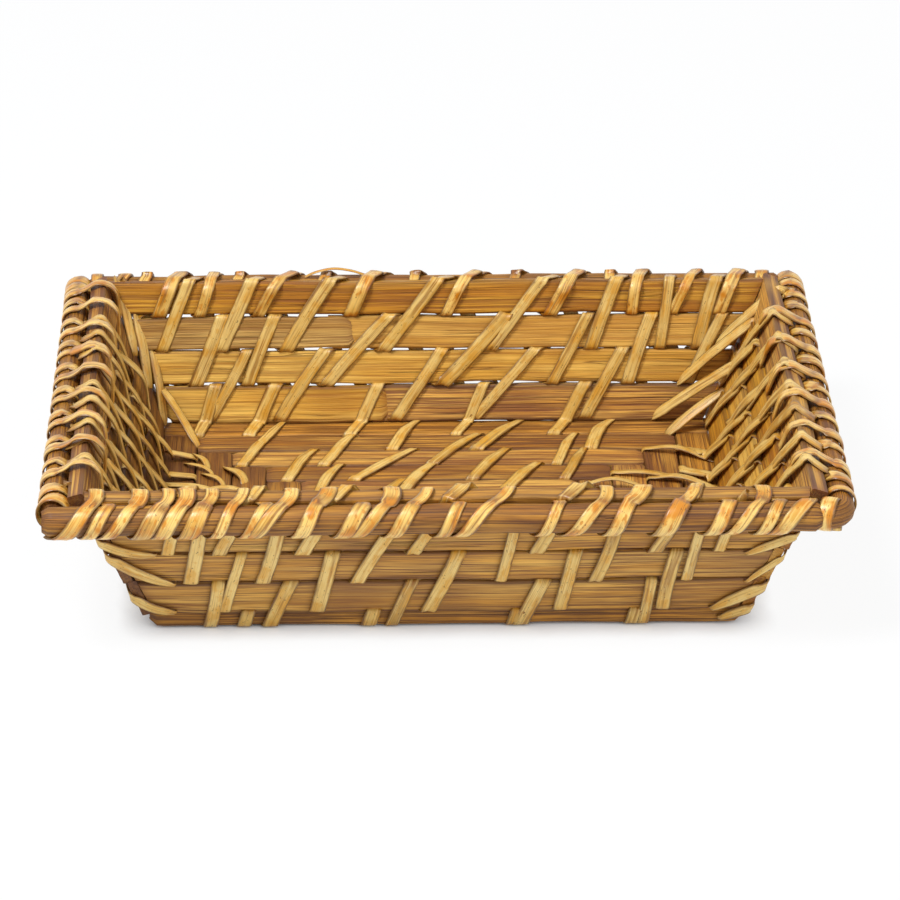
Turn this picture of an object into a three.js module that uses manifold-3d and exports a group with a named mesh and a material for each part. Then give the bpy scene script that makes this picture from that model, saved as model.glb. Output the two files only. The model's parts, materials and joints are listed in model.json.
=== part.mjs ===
import * as THREE from 'three';
import { mergeVertices } from 'three/addons/utils/BufferGeometryUtils.js';
import Module from 'manifold-3d';

// Rectangular rattan bread basket with flared walls, in millimetres, +Z up.
// The origin is on the surface it stands on, under the middle of the basket.
// Flat cane slats lie in level hoops of four. Flat strips bind each hoop to the next:
// a strip goes round two hoops at a time and passes through the slits between them.

// Foot, walls and flare
const footLength = 217;
const footDepth = 164;
const sideFlareDegrees = 23.5;
const frontFlareDegrees = 14.5;
const wallTop = 61;
const wallSlatThickness = 4;
const wallRows = 4;
const slit = 1.6;

// Foot hoop and floor
const footHeight = 7;
const footWidth = 13;
const floorSlatThickness = 4;
const floorHoops = 5;

// Rim rods
const rodDiameter = 12;
const rodSlit = 1.8;
const rodCornerRadius = 10;
const rodEndLength = 2;
const rodSides = 12;
const rodStep = 5;

// Binding strips
const stripWidth = 4.2;
const stripThickness = 0.8;
const stripClearance = 0.3;
const stitchPitch = 29;
const stitchInsideRun = 18;
const notchSideClearance = 0.4;
const cornerMargin = 7;
const cornerStand = 2.5;

// Fits
const jointGap = 0.4;
const slatChamfer = 0.7;

const wasm = await Module();
wasm.setup();

const rodRadius = rodDiameter / 2;
const rowPitch = (wallTop - footHeight) / wallRows;
const floorPitch = (footDepth / 2 - footWidth - slit / 2) / floorHoops;
const floorSlatWidth = floorPitch - slit;
const stitchOutsideRun = stitchPitch - stitchInsideRun;
const stripUnderside = stripThickness + 0.1;
const notchDepth = stripUnderside + stripClearance;

// The four sides in the order the strips travel, anticlockwise seen from above.
// along is the way of travel and out points away from the middle.
const degrees = Math.PI / 180;
const sides = [
  { name: 'front', along: [1, 0], out: [0, -1], foot: footDepth / 2, flare: frontFlareDegrees * degrees },
  { name: 'right', along: [0, 1], out: [1, 0], foot: footLength / 2, flare: sideFlareDegrees * degrees },
  { name: 'back', along: [-1, 0], out: [0, 1], foot: footDepth / 2, flare: frontFlareDegrees * degrees },
  { name: 'left', along: [0, -1], out: [-1, 0], foot: footLength / 2, flare: sideFlareDegrees * degrees },
];
const isLong = (side) => side.name === 'front' || side.name === 'back';
const neighbour = (side) => (isLong(side) ? sides[1] : sides[0]);

// A point of a side's section: depth goes out through the wall, rise goes up along it.
const wallPoint = (side, depth, rise) => new THREE.Vector2(
  side.foot + rise * Math.sin(side.flare) + depth * Math.cos(side.flare),
  rise * Math.cos(side.flare) - depth * Math.sin(side.flare),
);
const riseAt = (side, z) => z / Math.cos(side.flare);
const wallOuter = (side, z) => side.foot + z * Math.tan(side.flare);
const wallInner = (side, z) => wallOuter(side, z) - wallSlatThickness / Math.cos(side.flare);
const toWorld = (side, travel, distance, z) => new THREE.Vector3(
  side.along[0] * travel + side.out[0] * distance,
  side.along[1] * travel + side.out[1] * distance,
  z,
);

// The middle of the slit above row 1, 2, and so on, as a rise along the wall.
const slitRise = (side, row) => riseAt(side, wallTop - (row - 1) * rowPitch) + slit / 2;
const rowTopRise = (side, row) => slitRise(side, row) - slit / 2;
const rowBottomRise = (side, row) => slitRise(side, row + 1) + slit / 2;
const footInner = (side) => side.foot - footWidth;
const hoopOuter = (side, hoop) => footInner(side) - slit - (hoop - 1) * floorPitch;
const hoopInner = (side, hoop) => hoopOuter(side, hoop) - floorSlatWidth;
const rodDistance = (side) => wallOuter(side, wallTop - rodRadius) + (rodRadius + rodSlit) / Math.cos(side.flare);
const rodHeight = wallTop - rodRadius;

// Solids
function toManifold(geometry) {
  const bare = geometry.index ? geometry.toNonIndexed() : geometry.clone();
  for (const name of Object.keys(bare.attributes)) {
    if (name !== 'position') bare.deleteAttribute(name);
  }
  const merged = mergeVertices(bare, 1e-4);
  return new wasm.Manifold(new wasm.Mesh({
    numProp: 3,
    vertProperties: new Float32Array(merged.attributes.position.array),
    triVerts: new Uint32Array(merged.index.array),
  }));
}

function fromManifold(solid) {
  const mesh = solid.getMesh();
  const geometry = new THREE.BufferGeometry();
  geometry.setAttribute('position', new THREE.BufferAttribute(new Float32Array(mesh.vertProperties), 3));
  geometry.setIndex(new THREE.BufferAttribute(new Uint32Array(mesh.triVerts), 1));
  return geometry;
}

function chamferedOutline(corners, chamfer) {
  const outline = [];
  corners.forEach((corner, index) => {
    const before = corners[(index + corners.length - 1) % corners.length];
    const after = corners[(index + 1) % corners.length];
    const back = before.clone().sub(corner);
    const ahead = after.clone().sub(corner);
    outline.push(corner.clone().add(back.setLength(Math.min(chamfer, back.length() / 3))));
    outline.push(corner.clone().add(ahead.setLength(Math.min(chamfer, ahead.length() / 3))));
  });
  return outline;
}

// A straight slat along one side. reach gives its half length at a point of its section,
// so that the ends lie in the slanted planes of the walls they meet.
function slatGeometry(side, corners, reach) {
  const shape = new THREE.Shape(chamferedOutline(corners, slatChamfer));
  const geometry = new THREE.ExtrudeGeometry(shape, { depth: 1, steps: 1, bevelEnabled: false });
  const position = geometry.attributes.position;
  for (let index = 0; index < position.count; index += 1) {
    const distance = position.getX(index);
    const z = position.getY(index);
    const end = 1 - 2 * Math.round(position.getZ(index));
    const point = toWorld(side, end * reach(distance, z), distance, z);
    position.setXYZ(index, point.x, point.y, point.z);
  }
  return geometry;
}

// Long slats fit between the end walls, and the end walls' slats run through to the outside.
const wallReach = (side) => (distance, z) => (isLong(side)
  ? wallInner(neighbour(side), z) - jointGap / Math.cos(neighbour(side).flare)
  : wallOuter(neighbour(side), z));

function wallSlat(side, row) {
  const top = rowTopRise(side, row);
  const bottom = rowBottomRise(side, row);
  const corners = [
    wallPoint(side, -wallSlatThickness, bottom),
    wallPoint(side, 0, bottom),
    wallPoint(side, 0, top),
    wallPoint(side, -wallSlatThickness, top),
  ];
  return slatGeometry(side, corners, wallReach(side));
}

function footSlat(side, notches) {
  const corners = [
    new THREE.Vector2(footInner(side), 0),
    new THREE.Vector2(side.foot, 0),
    new THREE.Vector2(wallOuter(side, footHeight), footHeight),
    new THREE.Vector2(footInner(side), footHeight),
  ];
  const reach = (distance, z) => (isLong(side)
    ? footInner(neighbour(side)) - jointGap
    : wallOuter(neighbour(side), z));
  let solid = toManifold(slatGeometry(side, corners, reach));
  const length = footWidth * 3;
  const width = stripWidth + 2 * notchSideClearance;
  for (const travel of notches) {
    const centre = toWorld(side, travel, side.foot - footWidth / 2, 0);
    const size = isLong(side) ? [width, length] : [length, width];
    const box = new THREE.BoxGeometry(size[0], size[1], notchDepth * 2);
    box.translate(centre.x, centre.y, 0);
    solid = solid.subtract(toManifold(box));
  }
  return fromManifold(solid);
}

// Floor hoops lie inside the foot hoop. The innermost has no end slats, only two long ones.
const isEndless = (hoop) => hoop === floorHoops;

function floorSlat(side, hoop) {
  const bottom = footHeight - floorSlatThickness;
  const corners = [
    new THREE.Vector2(hoopInner(side, hoop), bottom),
    new THREE.Vector2(hoopOuter(side, hoop), bottom),
    new THREE.Vector2(hoopOuter(side, hoop), footHeight),
    new THREE.Vector2(hoopInner(side, hoop), footHeight),
  ];
  const half = isLong(side) && !isEndless(hoop)
    ? hoopInner(neighbour(side), hoop) - jointGap
    : hoopOuter(neighbour(side), hoop);
  return slatGeometry(side, corners, () => half);
}

// Rim rods: the long ones are straight, the end ones turn the corners to meet them.
const rodJoint = rodDistance(sides[1]) - rodCornerRadius - rodEndLength;

function straightRod(side) {
  const half = rodJoint - jointGap;
  const geometry = new THREE.CylinderGeometry(rodRadius, rodRadius, 2 * half, rodSides);
  geometry.rotateZ(Math.PI / 2);
  geometry.translate(0, side.out[1] * rodDistance(side), rodHeight);
  return geometry;
}

function bentRod(side) {
  const direction = side.out[0];
  const x = rodDistance(side);
  const y = rodDistance(neighbour(side));
  const bend = rodCornerRadius;
  const at = (px, py) => new THREE.Vector3(px * direction, py, rodHeight);
  const route = new THREE.CurvePath();
  route.add(new THREE.LineCurve3(at(rodJoint, -y), at(x - bend, -y)));
  route.add(new THREE.QuadraticBezierCurve3(at(x - bend, -y), at(x, -y), at(x, -y + bend)));
  route.add(new THREE.LineCurve3(at(x, -y + bend), at(x, y - bend)));
  route.add(new THREE.QuadraticBezierCurve3(at(x, y - bend), at(x, y), at(x - bend, y)));
  route.add(new THREE.LineCurve3(at(x - bend, y), at(rodJoint, y)));
  const section = new THREE.Shape();
  section.absarc(0, 0, rodRadius, 0, 2 * Math.PI, false);
  return new THREE.ExtrudeGeometry(section, {
    extrudePath: route,
    steps: Math.round(route.getLength() / rodStep),
    curveSegments: rodSides,
    bevelEnabled: false,
  });
}

// Joins rings of points into one closed body with flat ends. Opposite faces are split
// along the same diagonal, so that a strip stays as thick where it twists.
function skin(rings) {
  const count = rings[0].length;
  const positions = [];
  const faces = [];
  rings.forEach((ring) => ring.forEach((point) => positions.push(point.x, point.y, point.z)));
  for (let ring = 0; ring + 1 < rings.length; ring += 1) {
    for (let step = 0; step < count; step += 1) {
      const next = (step + 1) % count;
      const a = ring * count + step;
      const b = ring * count + next;
      const c = (ring + 1) * count + next;
      const d = (ring + 1) * count + step;
      if (step < count / 2) faces.push(a, b, c, a, c, d);
      else faces.push(a, b, d, b, c, d);
    }
  }
  const last = (rings.length - 1) * count;
  for (let step = 1; step + 1 < count; step += 1) {
    faces.push(0, step + 1, step);
    faces.push(last, last + step, last + step + 1);
  }
  const geometry = new THREE.BufferGeometry();
  geometry.setAttribute('position', new THREE.BufferAttribute(new Float32Array(positions), 3));
  geometry.setIndex(faces);
  return turnedOut(geometry);
}

// Turns a closed body's faces round if they point inward.
function turnedOut(geometry) {
  const position = geometry.attributes.position;
  const index = geometry.index.array;
  const a = new THREE.Vector3();
  const b = new THREE.Vector3();
  const c = new THREE.Vector3();
  let volume = 0;
  for (let face = 0; face < index.length; face += 3) {
    a.fromBufferAttribute(position, index[face]);
    b.fromBufferAttribute(position, index[face + 1]);
    c.fromBufferAttribute(position, index[face + 2]);
    volume += a.dot(b.cross(c));
  }
  if (volume < 0) {
    for (let face = 0; face < index.length; face += 3) {
      const kept = index[face + 1];
      index[face + 1] = index[face + 2];
      index[face + 2] = kept;
    }
  }
  return geometry;
}

// Binding strips. A loop is the closed path of one turn in a side's section, as corners
// { at, run }: at is the corner of the strip's inner face and run says how far along the
// side the strip has got there, in parts of the inside run (0 to 1) and outside run (1 to 2).
const runOf = (run) => (run <= 1
  ? run * stitchInsideRun
  : stitchInsideRun + (run - 1) * stitchOutsideRun);

// Moves each corner of a closed loop outward by a distance, with mitred bends.
function offsetLoop(loop, distance) {
  const count = loop.length;
  let area = 0;
  for (let index = 0; index < count; index += 1) {
    area += loop[index].at.cross(loop[(index + 1) % count].at);
  }
  const turn = area > 0 ? 1 : -1;
  return loop.map((corner, index) => {
    const before = corner.at.clone().sub(loop[(index + count - 1) % count].at).normalize();
    const after = loop[(index + 1) % count].at.clone().sub(corner.at).normalize();
    const normalBefore = new THREE.Vector2(before.y, -before.x).multiplyScalar(turn);
    const normalAfter = new THREE.Vector2(after.y, -after.x).multiplyScalar(turn);
    const mitre = normalBefore.clone().add(normalAfter);
    const scale = distance / Math.max(0.2, 0.5 * mitre.lengthSq());
    return { at: corner.at.clone().addScaledVector(mitre, scale), run: corner.run };
  });
}

const inside = -wallSlatThickness - stripClearance;
const outside = stripClearance;
const halfStrip = stripThickness / 2;

function wallLoop(row) {
  return (side) => {
    const top = slitRise(side, row) - (row === 1 ? slit / 2 - stripClearance : halfStrip);
    const bottom = slitRise(side, row + 2) + halfStrip;
    return [
      { at: wallPoint(side, inside, top), run: 0 },
      { at: wallPoint(side, inside, bottom), run: 1 },
      { at: wallPoint(side, outside, bottom), run: 1 },
      { at: wallPoint(side, outside, top), run: 2 },
    ];
  };
}

function rimLoop(side) {
  const top = rowTopRise(side, 1) + stripClearance;
  const bottom = slitRise(side, 2) + halfStrip;
  const reach = (rodRadius + stripClearance) / Math.cos(22.5 * degrees);
  const around = [-100, -55, -10, 35, 80].map((angle, index) => ({
    at: new THREE.Vector2(
      rodDistance(side) + reach * Math.cos(angle * degrees),
      rodHeight + reach * Math.sin(angle * degrees),
    ),
    run: 1.2 + index * 0.2,
  }));
  return [
    { at: wallPoint(side, inside, top), run: 0.5 },
    { at: wallPoint(side, inside, bottom), run: 1 },
    { at: wallPoint(side, outside, bottom), run: 1 },
    ...around,
  ];
}

function wallFootLoop(side) {
  const top = slitRise(side, wallRows) - halfStrip;
  const deck = footHeight + stripClearance;
  const slot = footInner(side) - (slit - stripThickness) / 2;
  return [
    { at: wallPoint(side, inside, top), run: 0 },
    { at: new THREE.Vector2(wallInner(side, deck) - stripClearance, deck), run: 0.6 },
    { at: new THREE.Vector2(slot, deck), run: 1 },
    { at: new THREE.Vector2(slot, stripUnderside), run: 1 },
    { at: new THREE.Vector2(wallOuter(side, stripUnderside) + stripClearance, stripUnderside), run: 1 },
    { at: wallPoint(side, outside, top), run: 2 },
  ];
}

function footFloorLoop(side) {
  const deck = footHeight + stripClearance;
  const below = footHeight - floorSlatThickness - stripClearance;
  const slot = hoopInner(side, 1) - (slit - stripThickness) / 2;
  const outer = wallOuter(side, deck) + stripClearance;
  return [
    { at: new THREE.Vector2(outer, deck), run: 0 },
    { at: new THREE.Vector2(wallInner(side, deck), deck), run: 0.2 },
    { at: new THREE.Vector2(wallInner(side, deck) - 2 * slit, deck), run: 0.4 },
    { at: new THREE.Vector2(slot, deck), run: 1 },
    { at: new THREE.Vector2(slot, below), run: 1 },
    { at: new THREE.Vector2(footInner(side) - slit / 2, stripUnderside), run: 1.5 },
    { at: new THREE.Vector2(wallOuter(side, stripUnderside) + stripClearance, stripUnderside), run: 1.5 },
  ];
}

function floorLoop(hoop) {
  return (side) => {
    const deck = footHeight + stripClearance;
    const below = footHeight - floorSlatThickness - stripClearance;
    const outer = hoopOuter(side, hoop) + (slit - stripThickness) / 2;
    const inner = hoopInner(side, hoop + 1) - (slit - stripThickness) / 2;
    return [
      { at: new THREE.Vector2(outer, deck), run: 0 },
      { at: new THREE.Vector2(inner, deck), run: 1 },
      { at: new THREE.Vector2(inner, below), run: 1 },
      { at: new THREE.Vector2(outer, below), run: 2 },
    ];
  };
}

// Where the turns start along a side. Each pair of hoops is shifted from the one above,
// so that strips that share a hoop lie a quarter of a pitch apart on both faces.
const pairShift = stitchInsideRun / 2 + stitchPitch / 4;

function turnStarts(side, course) {
  const shift = course.level * pairShift;
  const low = cornerMargin - course.bottomReach(side) - stitchInsideRun;
  const high = course.topReach(side) - cornerMargin;
  const starts = [];
  for (let turn = Math.ceil((low - shift) / stitchPitch); shift + turn * stitchPitch <= high; turn += 1) {
    starts.push(shift + turn * stitchPitch);
  }
  return starts;
}

// On the floor a strip crosses a corner over the other strips, in one of two layers.
function cornerRaise(level, leaving) {
  if (level < wallRows || (level === wallRows && leaving)) return 0;
  return (1 + (level % 2)) * (stripThickness + stripClearance);
}

// One unbroken strip along the given sides, both its ends in slits. It crosses each corner on
// the inner face, from the last stitch of one side straight to the first stitch of the next.
// Flat on the floor it comes to the slit from the middle, so there its faces change places.
function lashing(course, route) {
  const rings = [];
  const level = course.level;
  const flat = level > wallRows;
  let shift = 0;
  for (const side of route) {
    const inner = course.loop(side);
    const outer = offsetLoop(inner, stripThickness);
    const starts = turnStarts(side, course);
    const arrival = inner.findIndex((corner) => corner.run >= 1);
    const departure = inner.findLastIndex((corner) => corner.run <= 0.5);
    starts.forEach((start, turn) => {
      const isLast = turn === starts.length - 1;
      inner.forEach((corner, index) => {
        if (turn === 0 && index < arrival) return;
        if (isLast && index > departure) return;
        const arrives = turn === 0 && index === arrival;
        const leaves = isLast && index === departure;
        const innerFace = corner.at.clone();
        const outerFace = outer[index].at.clone();
        if (arrives || leaves) {
          innerFace.y += cornerRaise(level, leaves);
          outerFace.y += cornerRaise(level, leaves);
        }
        if (arrives && flat && rings.length > 0) {
          innerFace.y += stripThickness;
          outerFace.y -= stripThickness;
          shift = 2 - shift;
        }
        const ring = stripRing(side, start + runOf(corner.run), innerFace, outerFace, shift);
        if (arrives && !flat && rings.length > 0) rings.push(bridgeRing(rings.at(-1), ring, level));
        rings.push(ring);
      });
    });
  }
  return skin(rings);
}

// The middle of a crossing between two walls stands off from the corner, less or more by turns,
// so that the crossings of neighbouring strips pass each other.
function bridgeRing(from, to, level) {
  const stand = cornerStand * (1 + (level % 2) * 2);
  return from.map((point, index) => {
    const middle = point.clone().lerp(to[index], 0.5);
    const inward = new THREE.Vector3(-Math.sign(middle.x), -Math.sign(middle.y), 0);
    return middle.addScaledVector(inward, stand / Math.SQRT2);
  });
}

function stripRing(side, travel, innerFace, outerFace, shift) {
  const half = stripWidth / 2;
  const ring = [
    toWorld(side, travel - half, innerFace.x, innerFace.y),
    toWorld(side, travel + half, innerFace.x, innerFace.y),
    toWorld(side, travel + half, outerFace.x, outerFace.y),
    toWorld(side, travel - half, outerFace.x, outerFace.y),
  ];
  return [...ring.slice(shift), ...ring.slice(0, shift)];
}

// Each lashing is a course: its place in the order from the rim inward, the loop of one turn,
// and how far a side reaches at the turn's top (or outer) slit and bottom (or inner) slit.
const rowTopZ = (row) => wallTop - (row - 1) * rowPitch;
const wallRun = (z) => (side) => wallInner(neighbour(side), z);
const floorRun = (hoop) => (side) => hoopOuter(neighbour(side), hoop);
const rimCourse = {
  level: 0,
  loop: rimLoop,
  topReach: wallRun(wallTop),
  bottomReach: wallRun(rowTopZ(2)),
};
const wallCourse = (row) => ({
  level: row,
  loop: wallLoop(row),
  topReach: wallRun(rowTopZ(row)),
  bottomReach: wallRun(rowTopZ(row + 2)),
});
const wallFootCourse = {
  level: wallRows,
  loop: wallFootLoop,
  topReach: wallRun(rowTopZ(wallRows)),
  bottomReach: (side) => footInner(neighbour(side)),
};
const footFloorCourse = {
  level: wallRows + 1,
  loop: footFloorLoop,
  topReach: wallRun(footHeight),
  bottomReach: floorRun(2),
};
const floorCourse = (hoop) => ({
  level: wallRows + 1 + hoop,
  loop: floorLoop(hoop),
  topReach: floorRun(hoop),
  bottomReach: floorRun(hoop + 2),
});

// Where the strips pass under the foot hoop.
function footNotches(side) {
  const under = (course, run) => turnStarts(side, course).slice(0, -1).map((start) => start + runOf(run));
  return [...under(wallFootCourse, 1), ...under(footFloorCourse, 1.5)];
}

// The object
const basket = new THREE.Group();
const canes = ['#b9803f', '#c08a4a', '#ad7a42', '#c79655', '#a56f3a', '#b58650'];

function add(name, geometry, colour, roughness) {
  const material = new THREE.MeshStandardMaterial({ color: colour, roughness, metalness: 0 });
  const mesh = new THREE.Mesh(geometry, material);
  mesh.name = name;
  basket.add(mesh);
}

sides.forEach((side, sideIndex) => {
  add(`rim_rod_${side.name}`, isLong(side) ? straightRod(side) : bentRod(side), '#a9743a', 0.45);
  for (let row = 1; row <= wallRows; row += 1) {
    const colour = canes[(row * 2 + sideIndex) % canes.length];
    add(`wall_slat_${side.name}_${row}`, wallSlat(side, row), colour, 0.55);
  }
  add(`foot_slat_${side.name}`, footSlat(side, footNotches(side)), canes[sideIndex], 0.6);
  for (let hoop = 1; hoop <= floorHoops; hoop += 1) {
    if (isEndless(hoop) && !isLong(side)) continue;
    const colour = canes[(hoop + sideIndex * 3) % canes.length];
    add(`floor_slat_${side.name}_${hoop}`, floorSlat(side, hoop), colour, 0.6);
  }
});

const straw = '#d9b878';
add('lashing_rim', lashing(rimCourse, sides), straw, 0.4);
for (let row = 1; row < wallRows; row += 1) {
  add(`lashing_wall_${row}_${row + 1}`, lashing(wallCourse(row), sides), straw, 0.45);
}
add('lashing_wall_foot', lashing(wallFootCourse, sides), straw, 0.45);
add('lashing_foot_floor', lashing(footFloorCourse, sides), straw, 0.45);
for (let hoop = 1; hoop < floorHoops - 1; hoop += 1) {
  add(`lashing_floor_${hoop}_${hoop + 1}`, lashing(floorCourse(hoop), sides), straw, 0.45);
}
for (const side of sides.filter(isLong)) {
  add(`lashing_floor_middle_${side.name}`, lashing(floorCourse(floorHoops - 1), [side]), straw, 0.45);
}

export default basket;
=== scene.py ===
"""Rattan bread basket: looks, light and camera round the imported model.

Every solid of the model is dressed by one woven piece of the same place. Slats, rods and
binding strips are swept along their courses by Geometry Nodes. Lengths are in millimetres
until they reach a mesh, which is in metres.
"""

import json
import logging
import math
import random
from dataclasses import dataclass, field
from enum import Enum
from typing import Any

import bpy
from mathutils import Matrix, Vector

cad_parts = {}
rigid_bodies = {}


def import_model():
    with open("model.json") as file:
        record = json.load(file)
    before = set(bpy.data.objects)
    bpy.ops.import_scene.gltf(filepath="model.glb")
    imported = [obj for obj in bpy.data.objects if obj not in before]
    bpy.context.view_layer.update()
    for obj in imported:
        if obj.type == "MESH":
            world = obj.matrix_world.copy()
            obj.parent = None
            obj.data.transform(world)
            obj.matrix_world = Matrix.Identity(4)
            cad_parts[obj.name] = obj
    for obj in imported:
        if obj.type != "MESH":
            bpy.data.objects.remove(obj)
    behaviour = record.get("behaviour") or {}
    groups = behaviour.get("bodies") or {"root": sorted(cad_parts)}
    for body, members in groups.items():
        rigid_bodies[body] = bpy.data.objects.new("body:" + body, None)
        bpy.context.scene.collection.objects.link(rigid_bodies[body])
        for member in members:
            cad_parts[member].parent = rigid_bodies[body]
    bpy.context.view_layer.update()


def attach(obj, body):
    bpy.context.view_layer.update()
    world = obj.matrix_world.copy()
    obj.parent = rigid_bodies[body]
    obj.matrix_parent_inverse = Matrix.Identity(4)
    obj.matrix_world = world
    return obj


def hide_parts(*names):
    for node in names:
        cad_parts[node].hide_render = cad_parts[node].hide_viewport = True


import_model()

log = logging.getLogger("basket")
MM = 0.001
WHITE = (1.0, 1.0, 1.0, 1.0)
Pair = tuple[float, float]
Station = tuple[float, Pair, Pair]
UPWARD: Pair = (0.0, 1.0)
Colour = tuple[float, float, float]
Display = tuple[int, int, int]


def linear(display: Display) -> Colour:
    """Turns an 8-bit display colour into the linear colour that a shader takes."""
    shares = [value / 255 for value in display]
    return tuple(one / 12.92 if one <= 0.04045 else ((one + 0.055) / 1.055) ** 2.4 for one in shares)


# ---------------------------------------------------------------- node making


class Wire:
    """A socket that takes part in Python arithmetic, one Math node for each operation."""

    def __init__(self, maker: "NodeMaker", socket: bpy.types.NodeSocket) -> None:
        """Wraps an output socket of the maker's tree."""
        self.maker = maker
        self.socket = socket

    def maths(self, operation: str, *others: Any) -> "Wire":
        """Makes a Math node.

        Args:
            operation: the Math node's operation.
            others: the values or wires that follow this one.

        Returns:
            The result's wire.
        """
        inputs = {index: value for index, value in enumerate((self, *others))}
        return self.maker.make("ShaderNodeMath", {"operation": operation}, inputs)["Value"]

    def __add__(self, other: Any) -> "Wire":
        """Sum."""
        return self.maths("ADD", other)

    __radd__ = __add__

    def __mul__(self, other: Any) -> "Wire":
        """Product."""
        return self.maths("MULTIPLY", other)

    __rmul__ = __mul__

    def __sub__(self, other: Any) -> "Wire":
        """Difference."""
        return self.maths("SUBTRACT", other)

    def __rsub__(self, other: float) -> "Wire":
        """Difference with the number first."""
        return self.maker.number("SUBTRACT", other, self)

    def __truediv__(self, other: Any) -> "Wire":
        """Quotient."""
        return self.maths("DIVIDE", other)

    def __abs__(self) -> "Wire":
        """Size without sign."""
        return self.maths("ABSOLUTE")

    def ramp(self, low: float, high: float) -> "Wire":
        """Rises smoothly from 0 at low to 1 at high, or falls if low is the greater.

        Args:
            low: the value that gives 0.
            high: the value that gives 1.

        Returns:
            The result's wire.
        """
        made = self.maker.make(
            "ShaderNodeMapRange",
            {"interpolation_type": "SMOOTHSTEP", "clamp": True},
            {"Value": self, "From Min": low, "From Max": high, "To Min": 0.0, "To Max": 1.0},
        )
        return made["Result"]


class Made:
    """A node just made, whose outputs are read by name as wires."""

    def __init__(self, maker: "NodeMaker", node: bpy.types.Node) -> None:
        """Keeps the node and its maker."""
        self.maker = maker
        self.node = node

    def __getitem__(self, name: str) -> Wire:
        """Gives the enabled output of that name."""
        found = [socket for socket in self.node.outputs if socket.name == name and socket.enabled]
        return Wire(self.maker, found[0])


class NodeMaker:
    """Makes the nodes of one tree."""

    def __init__(self, tree: bpy.types.NodeTree) -> None:
        """Keeps the tree."""
        self.tree = tree

    def make(
        self, kind: str, settings: dict[str, Any] | None = None, inputs: dict[Any, Any] | None = None,
    ) -> Made:
        """Makes one node.

        Args:
            kind: the node's type.
            settings: its properties, set before the sockets.
            inputs: values or wires by socket name or number.

        Returns:
            The made node.
        """
        node = self.tree.nodes.new(kind)
        for name, value in (settings or {}).items():
            setattr(node, name, value)
        for key, value in (inputs or {}).items():
            if isinstance(key, int):
                socket = node.inputs[key]
            else:
                socket = next(one for one in node.inputs if one.name == key and one.enabled)
            if isinstance(value, Wire):
                self.tree.links.new(value.socket, socket)
            else:
                socket.default_value = value
        return Made(self, node)

    def number(self, operation: str, *values: Any) -> Wire:
        """Makes a Math node from plain numbers and wires."""
        return self.make("ShaderNodeMath", {"operation": operation}, dict(enumerate(values)))["Value"]

    def split(self, vector: Wire) -> Made:
        """Takes a vector apart."""
        return self.make("ShaderNodeSeparateXYZ", {}, {"Vector": vector})

    def vector(self, x: Any, y: Any, z: Any) -> Wire:
        """Joins three values into a vector."""
        return self.make("ShaderNodeCombineXYZ", {}, {"X": x, "Y": y, "Z": z})["Vector"]

    def scaled(self, vector: Wire, size: Wire) -> Wire:
        """Makes a vector longer or shorter."""
        inputs = {"Vector": vector, "Scale": size}
        return self.make("ShaderNodeVectorMath", {"operation": "SCALE"}, inputs)["Vector"]

    def position(self) -> Wire:
        """The place of a point."""
        return self.make("GeometryNodeInputPosition")["Position"]

    def moved(self, geometry: Wire, name: str, value: Wire) -> Wire:
        """Sets the points' Position, or moves them by an Offset."""
        return self.make("GeometryNodeSetPosition", {}, {"Geometry": geometry, name: value})["Geometry"]

    def mix(self, factor: Any, first: Any, second: Any) -> Wire:
        """Mixes two colours.

        Args:
            factor: how much of the second.
            first: a colour or its wire.
            second: a colour or its wire.

        Returns:
            The colour's wire.
        """
        colours = [value if isinstance(value, Wire) else (*value, 1.0) for value in (first, second)]
        settings = {"data_type": "RGBA", "blend_type": "MIX", "clamp_factor": True}
        inputs = {"Factor": factor, "A": colours[0], "B": colours[1]}
        return self.make("ShaderNodeMix", settings, inputs)["Result"]

    def noise(self, vector: Wire, detail: float = 2.0, roughness: float = 0.5) -> Wire:
        """Makes a noise of scale 1 over a vector that is already scaled."""
        inputs = {"Vector": vector, "Scale": 1.0, "Detail": detail, "Roughness": roughness}
        return self.make("ShaderNodeTexNoise", {"noise_dimensions": "3D"}, inputs)["Fac"]


# ---------------------------------------------------------------- the basket's frame


@dataclass(frozen=True)
class Sizes:
    """The basket's sizes in millimetres, the same as its solids have."""

    foot_length: float = 217.0
    foot_depth: float = 164.0
    side_flare: float = math.radians(23.5)
    front_flare: float = math.radians(14.5)
    wall_top: float = 61.0
    wall_rows: int = 4
    slat: float = 4.0
    slit: float = 1.6
    foot_height: float = 7.0
    foot_width: float = 13.0
    floor_hoops: int = 5
    rod: float = 12.0
    rod_slit: float = 1.8
    joint_gap: float = 0.4
    strip_width: float = 4.2
    strip: float = 0.8
    strip_gap: float = 0.25
    sole_rise: float = 0.5
    sole_lift: float = 0.6

    @property
    def row_pitch(self) -> float:
        """Height from one row of slats to the next."""
        return (self.wall_top - self.foot_height) / self.wall_rows

    @property
    def floor_pitch(self) -> float:
        """Distance from one floor hoop to the next."""
        return (self.foot_depth / 2 - self.foot_width - self.slit / 2) / self.floor_hoops

    @property
    def rod_height(self) -> float:
        """Height of the rim rods' middle line."""
        return self.wall_top - self.rod / 2

    @property
    def stand(self) -> float:
        """How far a strip's middle layer stands off the cane under it."""
        return self.strip_gap + self.strip / 2

    def slit_height(self, row: int) -> float:
        """Height of the slit above a row, which the foot's top closes below the last."""
        return self.wall_top - (row - 1) * self.row_pitch


SIZES = Sizes()


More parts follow.
